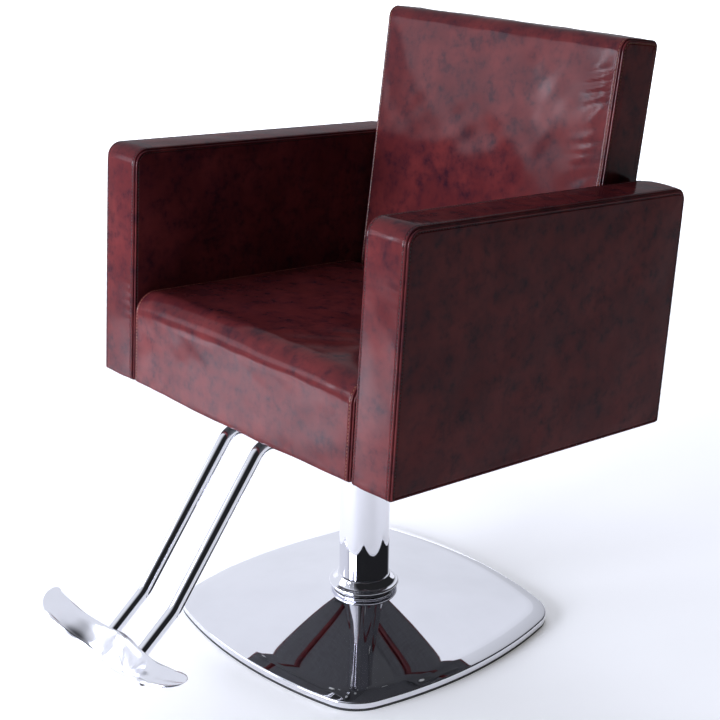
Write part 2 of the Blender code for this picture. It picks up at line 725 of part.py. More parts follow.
# --- back -----------------------------------------------------------------------------------------
def back_outline(inset, bottom):
    """Return the back's side outline in its own leaning axes, front at 0."""
    front = inset
    rear = BACK_THICKNESS - inset
    top = BACK_HEIGHT - inset
    corners = [(front, bottom), (rear, bottom), (rear, top), (front, top)]
    return rounded_outline(corners, [0.0, 0.0, 0.008, 0.016 - inset], 4)


def build_back(finishes, seat_axes, back_axes, frame_object):
    """Build the back: board, foam, cover, and the two steel brackets that carry it."""
    half = BACK_WIDTH / 2
    cover_mesh = prism("back_cover", back_outline(0.0, 0.0), -half, half, "X")
    cover = bevel(add_object("back_cover", cover_mesh, finishes["leather"], back_axes), SOFT_EDGE / 2, 1, 60)
    reach = half - COVER_THICKNESS
    combine(cover, prism("back_pocket", back_outline(COVER_THICKNESS, -0.01), -reach, reach, "X"))

    board_front = BACK_BOARD_FRONT
    board_rear = board_front + BACK_BOARD
    bracket_rear = board_rear + GAP + FRAME_THICKNESS
    board_half = half - 0.022
    board_top = BACK_HEIGHT - 0.020
    reach = half - COVER_THICKNESS - GAP
    foam_outline = back_outline(COVER_THICKNESS + GAP, GAP)
    foam_mesh = prism("back_foam", foam_outline, -reach, reach, "X")
    foam = add_object("back_foam", foam_mesh, finishes["foam"], back_axes)
    around = box_outline(board_front - GAP, bracket_rear + GAP, -0.01, board_top + GAP)
    combine(foam, prism("board_space", around, -board_half - GAP, board_half + GAP, "X"))
    board_outline = box_outline(board_front, board_rear, GAP, board_top)
    board = prism("back_core", board_outline, -board_half, board_half, "X")
    add_object("back_core", board, finishes["plywood"], back_axes)

    leg_top = -FRAME_THICKNESS - 2 * GAP
    lean = Matrix.Rotation(-BACK_LEAN, 2)
    front_face = Vector((board_rear + GAP, 0.0))
    rear_face = Vector((bracket_rear, 0.0))
    up = Vector((math.sin(BACK_LEAN), math.cos(BACK_LEAN)))
    heel = Vector((BACK_HINGE_Y, 0.0))
    front_foot = heel + lean @ front_face
    rear_foot = heel + lean @ rear_face
    leg_length = 0.200
    front_low = front_foot + up * ((leg_top - front_foot.y) / up.y)
    rear_low = rear_foot + up * ((leg_top - FRAME_THICKNESS - rear_foot.y) / up.y)
    start = BAR_Y - BAR_HALF_WIDTH
    profile = [
        (start, leg_top),
        (start, leg_top - FRAME_THICKNESS),
        tuple(rear_low),
        tuple(rear_foot + up * leg_length),
        tuple(front_foot + up * leg_length),
        tuple(front_low),
    ]
    for label, x in (("left", -0.15), ("right", 0.15)):
        mesh = prism(f"back_bracket_{label}", profile, x - 0.015, x + 0.015, "X")
        bracket = add_object(f"back_bracket_{label}", mesh, finishes["black_steel"], seat_axes)
        place = (x, BAR_Y)
        combine(bracket, bolt_hole(place, -0.03, 0.02))
        combine(frame_object, bolt_hole(place, -0.03, 0.02))
        head_top = leg_top - FRAME_THICKNESS - GAP
        bolt(f"back_bolt_{label}", finishes["zinc"], seat_axes, place, -2 * GAP, head_top)


# --- footrest -------------------------------------------------------------------------------------
def filleted_path(corners, radii, steps=5):
    """Return an open path in a plane whose inner corners are arcs."""
    points = [tuple(corners[0])]
    for before, here, after, radius in zip(corners, corners[1:], corners[2:], radii):
        middle = Vector(here)
        back = (Vector(before) - middle).normalized()
        ahead = (Vector(after) - middle).normalized()
        half = back.angle(ahead) / 2
        centre = middle + (back + ahead).normalized() * radius / math.sin(half)
        start = middle + back * radius / math.tan(half) - centre
        end = middle + ahead * radius / math.tan(half) - centre
        sweep = start.angle_signed(end)
        for k in range(steps + 1):
            points.append(tuple(centre + Matrix.Rotation(-sweep * k / steps, 2) @ start))
    points.append(tuple(corners[-1]))
    return points


def swept_tube(name, path, x, radius, sides=16):
    """Return a round bar that follows a path of (y, z) points in the plane at x."""
    rings = []
    for i, (y, z) in enumerate(path):
        before = Vector(path[max(i - 1, 0)])
        after = Vector(path[min(i + 1, len(path) - 1)])
        along = (after - before).normalized()
        out = Vector((0.0, -along.y, along.x))
        ring = []
        for k in range(sides):
            turn = 2 * math.pi * k / sides
            offset = Vector((1, 0, 0)) * radius * math.cos(turn) + out * radius * math.sin(turn)
            ring.append(Vector((x, y, z)) + offset)
        rings.append(ring)
    return loft(name, rings)


def seat_point(y, z):
    """Return the upright (y, z) of a point given in the seat's tilted axes."""
    return Vector((
        y * math.cos(SEAT_TILT) + z * math.sin(SEAT_TILT),
        SEAT_HEIGHT - y * math.sin(SEAT_TILT) + z * math.cos(SEAT_TILT),
    ))


def table_slope(points, i):
    """Return the direction of a smooth curve through a table's points at one of them."""
    if i == 0:
        return Vector((0.0, 0.0))
    after = min(i + 1, len(points) - 1)
    step = PLATE_STATIONS[after] - PLATE_STATIONS[i - 1]
    return (Vector(points[after]) - Vector(points[i - 1])) / step


def table_point(points, x):
    """Return the point at x on a smooth curve through a table's points."""
    i = max(k for k, station in enumerate(PLATE_STATIONS[:-1]) if station <= x)
    step = PLATE_STATIONS[i + 1] - PLATE_STATIONS[i]
    t = (x - PLATE_STATIONS[i]) / step
    rise = t * t * (3 - 2 * t)
    leave = table_slope(points, i) * step * t * (1 - t) ** 2
    arrive = table_slope(points, i + 1) * step * t * t * (1 - t)
    return Vector(points[i]) * (1 - rise) + Vector(points[i + 1]) * rise + leave - arrive


def plate_chord(x):
    """Return the foot plate's front and rear edges, as (y, z), at a distance from the middle."""
    inside = min(x, PLATE_STATIONS[-1])
    sweep = Vector(PLATE_SWEEP) * (x - inside)
    return table_point(PLATE_FRONT, inside) + sweep, table_point(PLATE_REAR, inside) + sweep


def plate_depths(x):
    """Return how far the foot plate stands ahead of and behind its chord at x."""
    hub = math.exp(-((abs(x) / 0.050) ** 4))
    return 0.0025 + 0.0035 * hub, 0.0040 + 0.0120 * hub


def plate_ring(x, blend=1.0):
    """Return the foot plate's section at x, shrunk towards its middle by a blend below 1."""
    front, rear = plate_chord(abs(x))
    middle = (front + rear) / 2
    chord = rear - front
    face = Vector((-chord.y, chord.x)).normalized()
    ahead, behind = plate_depths(x)
    ring = []
    steps = 7
    for k in range(2 * steps):
        angle = math.pi * k / steps
        across = math.cos(angle) * chord / 2
        depth = ahead if math.sin(angle) >= 0 else behind
        offset = across + face * depth * math.sin(angle)
        point = middle + offset * blend
        ring.append((x, point.x, point.y))
    return ring


def build_footrest(finishes, seat_axes, frame_object):
    """Build the footrest: bracket, two bent tubes, cast plate, rubber buffers and bolts."""
    front = -BAR_Y - BAR_HALF_WIDTH
    rear = -BAR_Y + BAR_HALF_WIDTH
    top = -FRAME_THICKNESS - 2 * GAP
    bottom = top - 0.0240
    block = prism("footrest_bracket", box_outline(-0.062, 0.062, front, rear), bottom, top)
    bracket = bevel(add_object("footrest_bracket", block, finishes["black_steel"], seat_axes), 0.002, 1, 60)
    for side in (-1, 1):
        hole = [
            (side * FOOT_TUBE_X + dx, -FOOT_TUBE_DROP + dz)
            for dx, dz, _ in circle(FOOT_TUBE_RADIUS + GAP, 0.0, 20)
        ]
        combine(bracket, prism("tube_seat", hole, front - 0.01, rear + 0.01, "Y"))
    for number, x in enumerate((-0.0545, 0.0545), start=1):
        place = (x, -BAR_Y)
        combine(bracket, bolt_hole(place, -0.05, 0.02))
        combine(frame_object, bolt_hole(place, -0.05, 0.02))
        bolt(f"footrest_bolt_{number}", finishes["zinc"], seat_axes, place, -2 * GAP, bottom - GAP)

    run_end = seat_point(-0.098, -FOOT_TUBE_DROP)
    run_direction = seat_point(-1.098, -FOOT_TUBE_DROP) - run_end
    knee = Vector(FOOT_KNEE)
    slope = Vector((1.0, FOOT_SLOPE))
    cross = run_direction.x * slope.y - run_direction.y * slope.x
    offset = knee - run_end
    travel = (offset.x * slope.y - offset.y * slope.x) / cross
    corner = run_end + run_direction * travel
    path = filleted_path([run_end, corner, knee, Vector(FOOT_END)], [0.030, 0.070])
    for label, side in (("left", -1), ("right", 1)):
        mesh = swept_tube(f"footrest_tube_{label}", path, side * FOOT_TUBE_X, FOOT_TUBE_RADIUS)
        add_object(f"footrest_tube_{label}", mesh, finishes["chrome"])

    half_rings = [(x, 1.0) for x in (0.0, 0.030, 0.050, 0.072, 0.096, 0.120, 0.145)]
    ahead = PLATE_REACH - PLATE_STATIONS[-1]
    for turn in (35, 62, 80):
        angle = math.radians(turn)
        half_rings.append((PLATE_STATIONS[-1] + ahead * math.sin(angle), math.cos(angle)))
    rings = [plate_ring(-x, blend) for x, blend in reversed(half_rings)]
    rings += [plate_ring(x, blend) for x, blend in half_rings[1:]]
    plate_mesh = loft("footrest_plate", rings)
    plate = add_object("footrest_plate", plate_mesh, finishes["chrome"])
    for side in (-1, 1):
        beyond = Vector(FOOT_END) + (Vector(FOOT_END) - knee).normalized() * GAP
        bore = swept_tube("tube_bore", [knee, beyond], side * FOOT_TUBE_X, FOOT_TUBE_RADIUS + GAP, 16)
        combine(plate, bore)

    number = 0
    for x in (-0.105, -0.062, 0.062, 0.105):
        number += 1
        lower, upper = plate_chord(abs(x))
        chord = (upper - lower).normalized()
        away = Vector((chord.y, -chord.x))
        foot = lower + (upper - lower) * 0.22 + away * (plate_depths(x)[1] + BUFFER_STAND)
        rotation = Vector((0, 0, 1)).rotation_difference(Vector((0, away.x, away.y)))
        mesh = turned_bar("buffer", [(0.0045, 0.0), (0.0045, 0.0035), (0.0030, 0.0050)], 12)
        buffer = add_object(f"footrest_buffer_{number}", mesh, finishes["rubber"])
        buffer.rotation_euler = rotation.to_euler()
        buffer.location = (x, foot.x, foot.y)


# --- assembly -------------------------------------------------------------------------------------
def build_chair():
    """Build every sub-part."""
    finishes = make_finishes()
    heading = add_empty("pedal_heading", (0, 0, 0), (0, 0, PEDAL_HEADING))
    seat_axes = add_empty("seat_axes", (0, 0, SEAT_HEIGHT), (-SEAT_TILT, 0, 0))
    back_axes = add_empty("back_axes", (0, BACK_HINGE_Y, 0), (-BACK_LEAN, 0, 0), seat_axes)
    build_base(finishes)
    build_pump(finishes, heading)
    build_pedal(finishes, heading)
    build_ram(finishes)
    build_swivel(finishes, seat_axes)
    frame_object = build_seat(finishes, seat_axes)
    for label, side in (("left", -1), ("right", 1)):
        build_arm(finishes, seat_axes, frame_object, side, label)
    build_back(finishes, seat_axes, back_axes, frame_object)
    build_footrest(finishes, seat_axes, frame_object)


for leftover in list(bpy.data.objects):
    bpy.data.objects.remove(leftover, do_unlink=True)
build_chair()
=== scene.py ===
"""Looks of a hydraulic barber chair: upholstery, chrome and hardware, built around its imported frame."""

import json
import logging
import math
from dataclasses import dataclass, field
from enum import Enum
from typing import Callable, Iterable, Sequence

import bmesh
import bpy
import numpy as np
from mathutils import Matrix, Vector


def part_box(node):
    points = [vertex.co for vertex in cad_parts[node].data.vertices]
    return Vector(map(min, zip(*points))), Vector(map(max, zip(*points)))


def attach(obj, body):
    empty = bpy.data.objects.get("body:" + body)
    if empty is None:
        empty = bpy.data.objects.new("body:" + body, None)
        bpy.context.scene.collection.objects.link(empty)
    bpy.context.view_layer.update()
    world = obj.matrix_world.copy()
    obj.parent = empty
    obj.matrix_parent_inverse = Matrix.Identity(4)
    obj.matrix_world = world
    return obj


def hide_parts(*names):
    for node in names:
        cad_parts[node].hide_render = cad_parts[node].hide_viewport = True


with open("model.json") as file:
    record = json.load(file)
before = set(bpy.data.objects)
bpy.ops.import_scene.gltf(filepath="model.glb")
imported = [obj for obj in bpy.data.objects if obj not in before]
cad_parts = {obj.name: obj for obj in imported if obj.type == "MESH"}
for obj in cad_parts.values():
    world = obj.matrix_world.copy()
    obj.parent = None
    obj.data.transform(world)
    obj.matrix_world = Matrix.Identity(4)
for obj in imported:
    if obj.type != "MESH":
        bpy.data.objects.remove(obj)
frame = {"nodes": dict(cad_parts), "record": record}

LOG = logging.getLogger("barber_chair")
TAU = 2 * math.pi


# --- shader arithmetic ----------------------------------------------------------------------------
class Value:
    """A number socket in a material, which takes part in ordinary arithmetic."""

    def __init__(self, graph: "Graph", socket: bpy.types.NodeSocket) -> None:
        """Wrap a socket.

        Args:
            graph: The material graph that the socket belongs to.
            socket: The output socket that holds the number.
        """
        self.graph = graph
        self.socket = socket

    def _math(self, operation: str, first: object, second: object) -> "Value":
        """Return the result of a Math node."""
        node = self.graph.make("ShaderNodeMath", {"operation": operation}, {0: first, 1: second})
        return Value(self.graph, node.outputs[0])

    def __add__(self, other: object) -> "Value":
        """Return the sum."""
        return self._math("ADD", self, other)

    def __radd__(self, other: object) -> "Value":
        """Return the sum with a number on the left."""
        return self._math("ADD", other, self)

    def __mul__(self, other: object) -> "Value":
        """Return the product."""
        return self._math("MULTIPLY", self, other)

    def __rmul__(self, other: object) -> "Value":
        """Return the product with a number on the left."""
        return self._math("MULTIPLY", other, self)

    def ramp(self, low: float, high: float) -> "Value":
        """Return 0 below low, 1 above high and a smooth rise between.

        Args:
            low: Where the rise starts.
            high: Where the rise ends.

        Returns:
            The smoothed step.
        """
        settings = {"interpolation_type": "SMOOTHSTEP"}
        values = {"Value": self, "From Min": low, "From Max": high}
        node = self.graph.make("ShaderNodeMapRange", settings, values)
        return Value(self.graph, node.outputs[0])


class Graph:
    """A material's node graph, built by calls."""

    def __init__(self, name: str) -> None:
        """Start a material with an empty graph.

        Args:
            name: The material's name.
        """
        self.material = bpy.data.materials.new(name)
        self.material.use_nodes = True
        self.tree = self.material.node_tree
        self.tree.nodes.clear()
        self.place = self.make("ShaderNodeTexCoord", {}, {}).outputs["Object"]

    def make(self, kind: str, settings: dict[str, object], values: dict[object, object]) -> bpy.types.Node:
        """Add one node.

        Args:
            kind: The node's type.
            settings: The node's own properties, set before its sockets.
            values: Links or constants for its input sockets, by name or number.

        Returns:
            The node.
        """
        node = self.tree.nodes.new(kind)
        for key, value in settings.items():
            setattr(node, key, value)
        for key, value in values.items():
            if isinstance(value, Value):
                value = value.socket
            if isinstance(value, bpy.types.NodeSocket):
                self.tree.links.new(value, node.inputs[key])
            else:
                node.inputs[key].default_value = value
        return node

    def noise(self, scale: float, detail: float = 3.0, roughness: float = 0.5, place: object = None) -> Value:
        """Return a noise texture's value.

        Args:
            scale: Features per metre.
            detail: Octaves.
            roughness: How strong the fine octaves are.
            place: The position to read, or None for the object's own.

        Returns:
            The noise, around 0.5.
        """
        values = {"Vector": place or self.place, "Scale": scale, "Detail": detail, "Roughness": roughness}
        return Value(self, self.make("ShaderNodeTexNoise", {}, values).outputs[0])

    def cells(self, scale: float, feature: str = "F1", place: object = None) -> Value:
        """Return a cell texture's distance.

        Args:
            scale: Cells per metre.
            feature: Which distance is read.
            place: The position to read, or None for the object's own.

        Returns:
            The distance.
        """
        values = {"Vector": place or self.place, "Scale": scale}
        node = self.make("ShaderNodeTexVoronoi", {"feature": feature}, values)
        return Value(self, node.outputs["Distance"])

    def stretched(self, scale: Sequence[float]) -> bpy.types.NodeSocket:
        """Return the object's own position, stretched by a scale on each axis."""
        return self.make("ShaderNodeMapping", {}, {"Vector": self.place, "Scale": scale}).outputs[0]

    def tint(self, share: object, first: Sequence[float], second: object) -> bpy.types.NodeSocket:
        """Return a colour between two others.

        Args:
            share: How much of the second colour shows.
            first: The colour at 0, as numbers or a socket.
            second: The colour at 1, as numbers or a socket.

        Returns:
            The mixed colour's socket.
        """
        colours = [c if isinstance(c, bpy.types.NodeSocket) else (*c, 1.0) for c in (first, second)]
        settings = {"data_type": "RGBA"}
        values = {"Factor": share, 6: colours[0], 7: colours[1]}
        return self.make("ShaderNodeMix", settings, values).outputs[2]

    def bump(self, height: Value, depth: float) -> bpy.types.NodeSocket:
        """Return a normal raised by a height.

        Args:
            height: The height, from 0 to 1.
            depth: What a height of 1 stands for, in metres.

        Returns:
            The normal's socket.
        """
        values = {"Height": height, "Distance": depth, "Strength": 1.0}
        return self.make("ShaderNodeBump", {}, values).outputs[0]

    def surface(self, values: dict[str, object]) -> bpy.types.Material:
        """Finish the material with a Principled shader.

        Args:
            values: Links or constants for its sockets.

        Returns:
            The material.
        """
        shader = self.make("ShaderNodeBsdfPrincipled", {}, values)
        output = self.make("ShaderNodeOutputMaterial", {}, {})
        self.tree.links.new(shader.outputs[0], output.inputs["Surface"])
        return self.material


# --- finishes -------------------------------------------------------------------------------------
@dataclass(frozen=True)
class LeatherFinish:
    """Glossy coated leather, deep red-brown with soft dark marbling."""

    name: str = "marbled_leather"
    ground: tuple[float, float, float] = (0.069, 0.0114, 0.0128)
    glow: tuple[float, float, float] = (0.093, 0.0156, 0.0162)
    cloud: tuple[float, float, float] = (0.0190, 0.0062, 0.0108)
    cloud_scale: float = 38.0
    grain_scale: float = 1500.0
    roughness: float = 0.29
    coat_weight: float = 0.24
    coat_roughness: float = 0.15
    grain_depth: float = 0.00007

    def material(self) -> bpy.types.Material:
        """Make the finish's material.

        Returns:
            The material.
        """
        graph = Graph(self.name)
        drift = graph.noise(12.0, 3.0)
        large = graph.noise(self.cloud_scale, 3.0, 0.5)
        small = graph.noise(self.cloud_scale * 2.7, 3.0, 0.55)
        clouds = (large * 0.65 + small * 0.35).ramp(0.36, 0.72)
        flecks = (large * 0.45 + small * 0.55).ramp(0.50, 0.72)
        marbling = clouds * 0.60 + flecks * 0.30
        ground = graph.tint(drift.ramp(0.38, 0.64), self.ground, self.glow)
        colour = graph.tint(marbling, ground, self.cloud)
        pores = graph.cells(self.grain_scale, "DISTANCE_TO_EDGE").ramp(0.0, 0.25)
        creases = graph.noise(420.0, 4.0, 0.6)
        height = pores * 0.55 + creases * 0.45
        rough = self.roughness + creases * 0.09 + marbling * 0.04
        return graph.surface({
            "Base Color": colour,
            "Roughness": rough,
            "Specular IOR Level": 0.0,
            "Coat Weight": self.coat_weight,
            "Coat Roughness": self.coat_roughness,
            "Normal": graph.bump(height, self.grain_depth),
        })


@dataclass(frozen=True)
class ChromeFinish:
    """Bright plated steel with faint polishing haze."""

    name: str = "bright_chrome"
    colour: tuple[float, float, float] = (0.82, 0.82, 0.86)
    roughness: float = 0.012

    def material(self) -> bpy.types.Material:
        """Make the finish's material.

        Returns:
            The material.
        """
        graph = Graph(self.name)
        haze = graph.noise(14.0, 3.0)
        smear = graph.noise(1.0, 3.0, 0.5, graph.stretched((260.0, 260.0, 30.0)))
        shade = graph.tint(haze.ramp(0.3, 0.8), self.colour, tuple(c * 0.96 for c in self.colour))
        return graph.surface({
            "Base Color": shade,
            "Metallic": 1.0,
            "Roughness": self.roughness + haze * 0.02 + smear * 0.010,
        })


@dataclass(frozen=True)
class MetalFinish:
    """Machined, cast or zinc-plated metal."""

    name: str
    colour: tuple[float, float, float]
    roughness: float
    metallic: float = 1.0
    grain: float = 600.0
    depth: float = 0.00004

    def material(self) -> bpy.types.Material:
        """Make the finish's material.

        Returns:
            The material.
        """
        graph = Graph(self.name)
        lines = graph.noise(1.0, 2.0, 0.5, graph.stretched((self.grain, self.grain, self.grain * 4)))
        stains = graph.noise(25.0, 4.0).ramp(0.35, 0.75)
        shade = graph.tint(stains, self.colour, tuple(c * 0.72 for c in self.colour))
        return graph.surface({
            "Base Color": shade,
            "Metallic": self.metallic,
            "Roughness": self.roughness + lines * 0.10 + stains * 0.08,
            "Normal": graph.bump(lines, self.depth),
        })


@dataclass(frozen=True)
class PlainFinish:
    """Rubber, foam or thread: one colour, softly mottled, with a grain."""

    name: str
    colour: tuple[float, float, float]
    roughness: float
    grain: float = 900.0
    depth: float = 0.00010

    def material(self) -> bpy.types.Material:
        """Make the finish's material.

        Returns:
            The material.
        """
        graph = Graph(self.name)
        mottle = graph.noise(self.grain * 0.08, 3.0)
        pits = graph.noise(self.grain, 3.0, 0.6)
        shade = graph.tint(mottle.ramp(0.3, 0.8), self.colour, tuple(c * 0.65 for c in self.colour))
        return graph.surface({
            "Base Color": shade,
            "Roughness": self.roughness - 0.06 + pits * 0.12,
            "Normal": graph.bump(pits, self.depth),
        })


@dataclass(frozen=True)
class ClothFinish:
    """Black non-woven dust cloth with a crossed thread pattern."""

    name: str = "dust_cloth"
    colour: tuple[float, float, float] = (0.018, 0.018, 0.020)
    threads: float = 900.0

    def material(self) -> bpy.types.Material:
        """Make the finish's material.

        Returns:
            The material.
        """
        graph = Graph(self.name)
        across = graph.noise(1.0, 1.0, 0.5, graph.stretched((self.threads, 40.0, 40.0)))
        along = graph.noise(1.0, 1.0, 0.5, graph.stretched((40.0, self.threads, 40.0)))
        weave = across * 0.5 + along * 0.5
        shade = graph.tint(weave.ramp(0.35, 0.65), self.colour, tuple(c * 2.2 for c in self.colour))
        return graph.surface({
            "Base Color": shade,
            "Roughness": 0.88 + weave * 0.08,
            "Sheen Weight": 0.15,
            "Normal": graph.bump(weave, 0.00015),
        })


@dataclass(frozen=True)
class WoodFinish:
    """Plywood with long grain."""

    name: str = "plywood"
    colour: tuple[float, float, float] = (0.50, 0.33, 0.18)

    def material(self) -> bpy.types.Material:
        """Make the finish's material.

        Returns:
            The material.
        """
        graph = Graph(self.name)
        grain = graph.noise(1.0, 4.0, 0.6, graph.stretched((120.0, 8.0, 120.0)))
        shade = graph.tint(grain.ramp(0.35, 0.7), self.colour, tuple(c * 0.55 for c in self.colour))
        return graph.surface({
            "Base Color": shade,
            "Roughness": 0.62 + grain * 0.12,
            "Normal": graph.bump(grain, 0.0002),
        })


class Slot(Enum):
    """The record's material slots, each with its finish."""

    CHROME = ("chrome", ChromeFinish())
    LEATHER = ("leather", LeatherFinish())
    FOAM = ("foam", PlainFinish("seat_foam_block", (0.72, 0.62, 0.42), 0.92, 700.0, 0.0004))
    PLYWOOD = ("plywood", WoodFinish())
    CLOTH = ("cloth", ClothFinish())
    BLACK_STEEL = (
        "black_steel",
        MetalFinish("black_powder_coat", (0.022, 0.022, 0.024), 0.42, 0.1, 1400.0, 0.00006),
    )
    MACHINED = ("machined", MetalFinish("machined_steel", (0.56, 0.57, 0.59), 0.20))
    CAST = ("cast", MetalFinish("grey_casting", (0.16, 0.16, 0.17), 0.55, 0.8, 500.0, 0.0003))
    BRONZE = ("bronze", MetalFinish("bearing_bronze", (0.60, 0.38, 0.16), 0.25))
    ZINC = ("zinc", MetalFinish("zinc_plate", (0.62, 0.62, 0.58), 0.28))
    RUBBER = ("rubber", PlainFinish("black_rubber", (0.020, 0.020, 0.021), 0.70))

    @property
    def label(self) -> str:
        """Return the slot's name in the record."""
        return self.value[0]


class Thread(Enum):
    """The colours of sewing thread."""

    DARK = (0.010, 0.0035, 0.0040)
    TAN = (0.200, 0.072, 0.030)


@dataclass
class Workshop:
    """Holds one material for each finish and puts finished pieces on the chair."""

    materials: dict[str, bpy.types.Material] = field(default_factory=dict)

    def finish(self, slot: Slot) -> bpy.types.Material:
        """Return a slot's material, made once.

        Args:
            slot: The record's slot.

        Returns:
            The material.
        """
        if slot.label not in self.materials:
            self.materials[slot.label] = slot.value[1].material()
        return self.materials[slot.label]

    def thread(self, thread: Thread) -> bpy.types.Material:
        """Return a sewing thread's material, made once.

        Args:
            thread: The thread.

        Returns:
            The material.
        """
        if thread.name not in self.materials:
            finish = PlainFinish(f"{thread.name.lower()}_thread", thread.value, 0.50, 3000.0, 0.00005)
            self.materials[thread.name] = finish.material()
        return self.materials[thread.name]

    def fit(
        self,
        name: str,
        mesh: bpy.types.Mesh,
        slot: Slot,
        body: str,
        replaces: Iterable[str] = (),
        material: bpy.types.Material | None = None,
    ) -> bpy.types.Object:
        """Put a finished mesh on the chair.

        Args:
            name: The piece's name.
            mesh: The mesh, in the chair's own axes.
            slot: The record's slot that it belongs to.
            body: The body that it rides on.
            replaces: The CAD nodes that it stands for.
            material: A material other than the slot's own.

        Returns:
            The piece.
        """
        piece = bpy.data.objects.new(name, mesh)
        bpy.context.scene.collection.objects.link(piece)
        mesh.materials.clear()
        mesh.materials.append(material or self.finish(slot))
        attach(piece, body)
        nodes = list(replaces)
        if nodes:
            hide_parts(*nodes)
        LOG.info("%s: %d faces on %s", name, len(mesh.polygons), body)
        return piece


# --- mesh helpers ---------------------------------------------------------------------------------
def mesh_from(name: str, rings: Sequence[np.ndarray], closed: bool, sharp: float = 40.0) -> bpy.types.Mesh:
    """Return a smooth mesh through rings of equal length.

    Args:
        name: The mesh's name.
        rings: Arrays of points, one row each.
        closed: True where the last ring joins the first, False where each end gets a cap.
        sharp: Edges that turn by more than this many degrees stay crisp.

    Returns:
        The mesh, facing outwards.
    """
    bm = bmesh.new()
    loops = [[bm.verts.new(tuple(float(x) for x in point)) for point in ring] for ring in rings]
    count = len(rings[0])
    pairs = list(zip(loops, loops[1:]))
    if closed:
        pairs.append((loops[-1], loops[0]))
    for lower, upper in pairs:
        for i in range(count):
            j = (i + 1) % count
            bm.faces.new((lower[i], lower[j], upper[j], upper[i]))
    if not closed:
        bm.faces.new(loops[0][::-1])
        bm.faces.new(loops[-1])
    bmesh.ops.remove_doubles(bm, verts=bm.verts, dist=1e-7)
    bmesh.ops.recalc_face_normals(bm, faces=bm.faces)
    mesh = bpy.data.meshes.new(name)
    bm.to_mesh(mesh)
    bm.free()
    mesh.shade_smooth()
    mesh.set_sharp_from_angle(angle=math.radians(sharp))
    return mesh


def circle(radius: float, z: float, sides: int) -> np.ndarray:
    """Return the points of a level circle about the column."""
    turn = np.arange(sides) * TAU / sides
    return np.stack([radius * np.cos(turn), radius * np.sin(turn), np.full(sides, z)], axis=1)


def turned(name: str, profile: Sequence[tuple[float, float]], sides: int = 96) -> bpy.types.Mesh:
    """Return a ring turned about the column from a closed profile of (radius, height) points."""
    return mesh_from(name, [circle(radius, z, sides) for radius, z in profile], closed=True)


def ripple(points: np.ndarray, wavelength: float, seed: int, waves: int = 10) -> np.ndarray:
    """Return smooth random relief, around -1 to 1.

    Args:
        points: Positions, one row each.
        wavelength: The usual distance between crests, in metres.
        seed: Fixes the waves' directions and phases.
        waves: How many waves are summed.

    Returns:
        One height for each point.
    """
    source = np.random.RandomState(seed)
    total = np.zeros(points.shape[:-1])
    for _ in range(waves):
        direction = source.normal(size=points.shape[-1])
        direction /= np.linalg.norm(direction)
        length = wavelength * source.uniform(0.7, 1.5)
        total += np.sin(points @ direction * TAU / length + source.uniform(0, TAU))
    return total / math.sqrt(waves) / 1.2


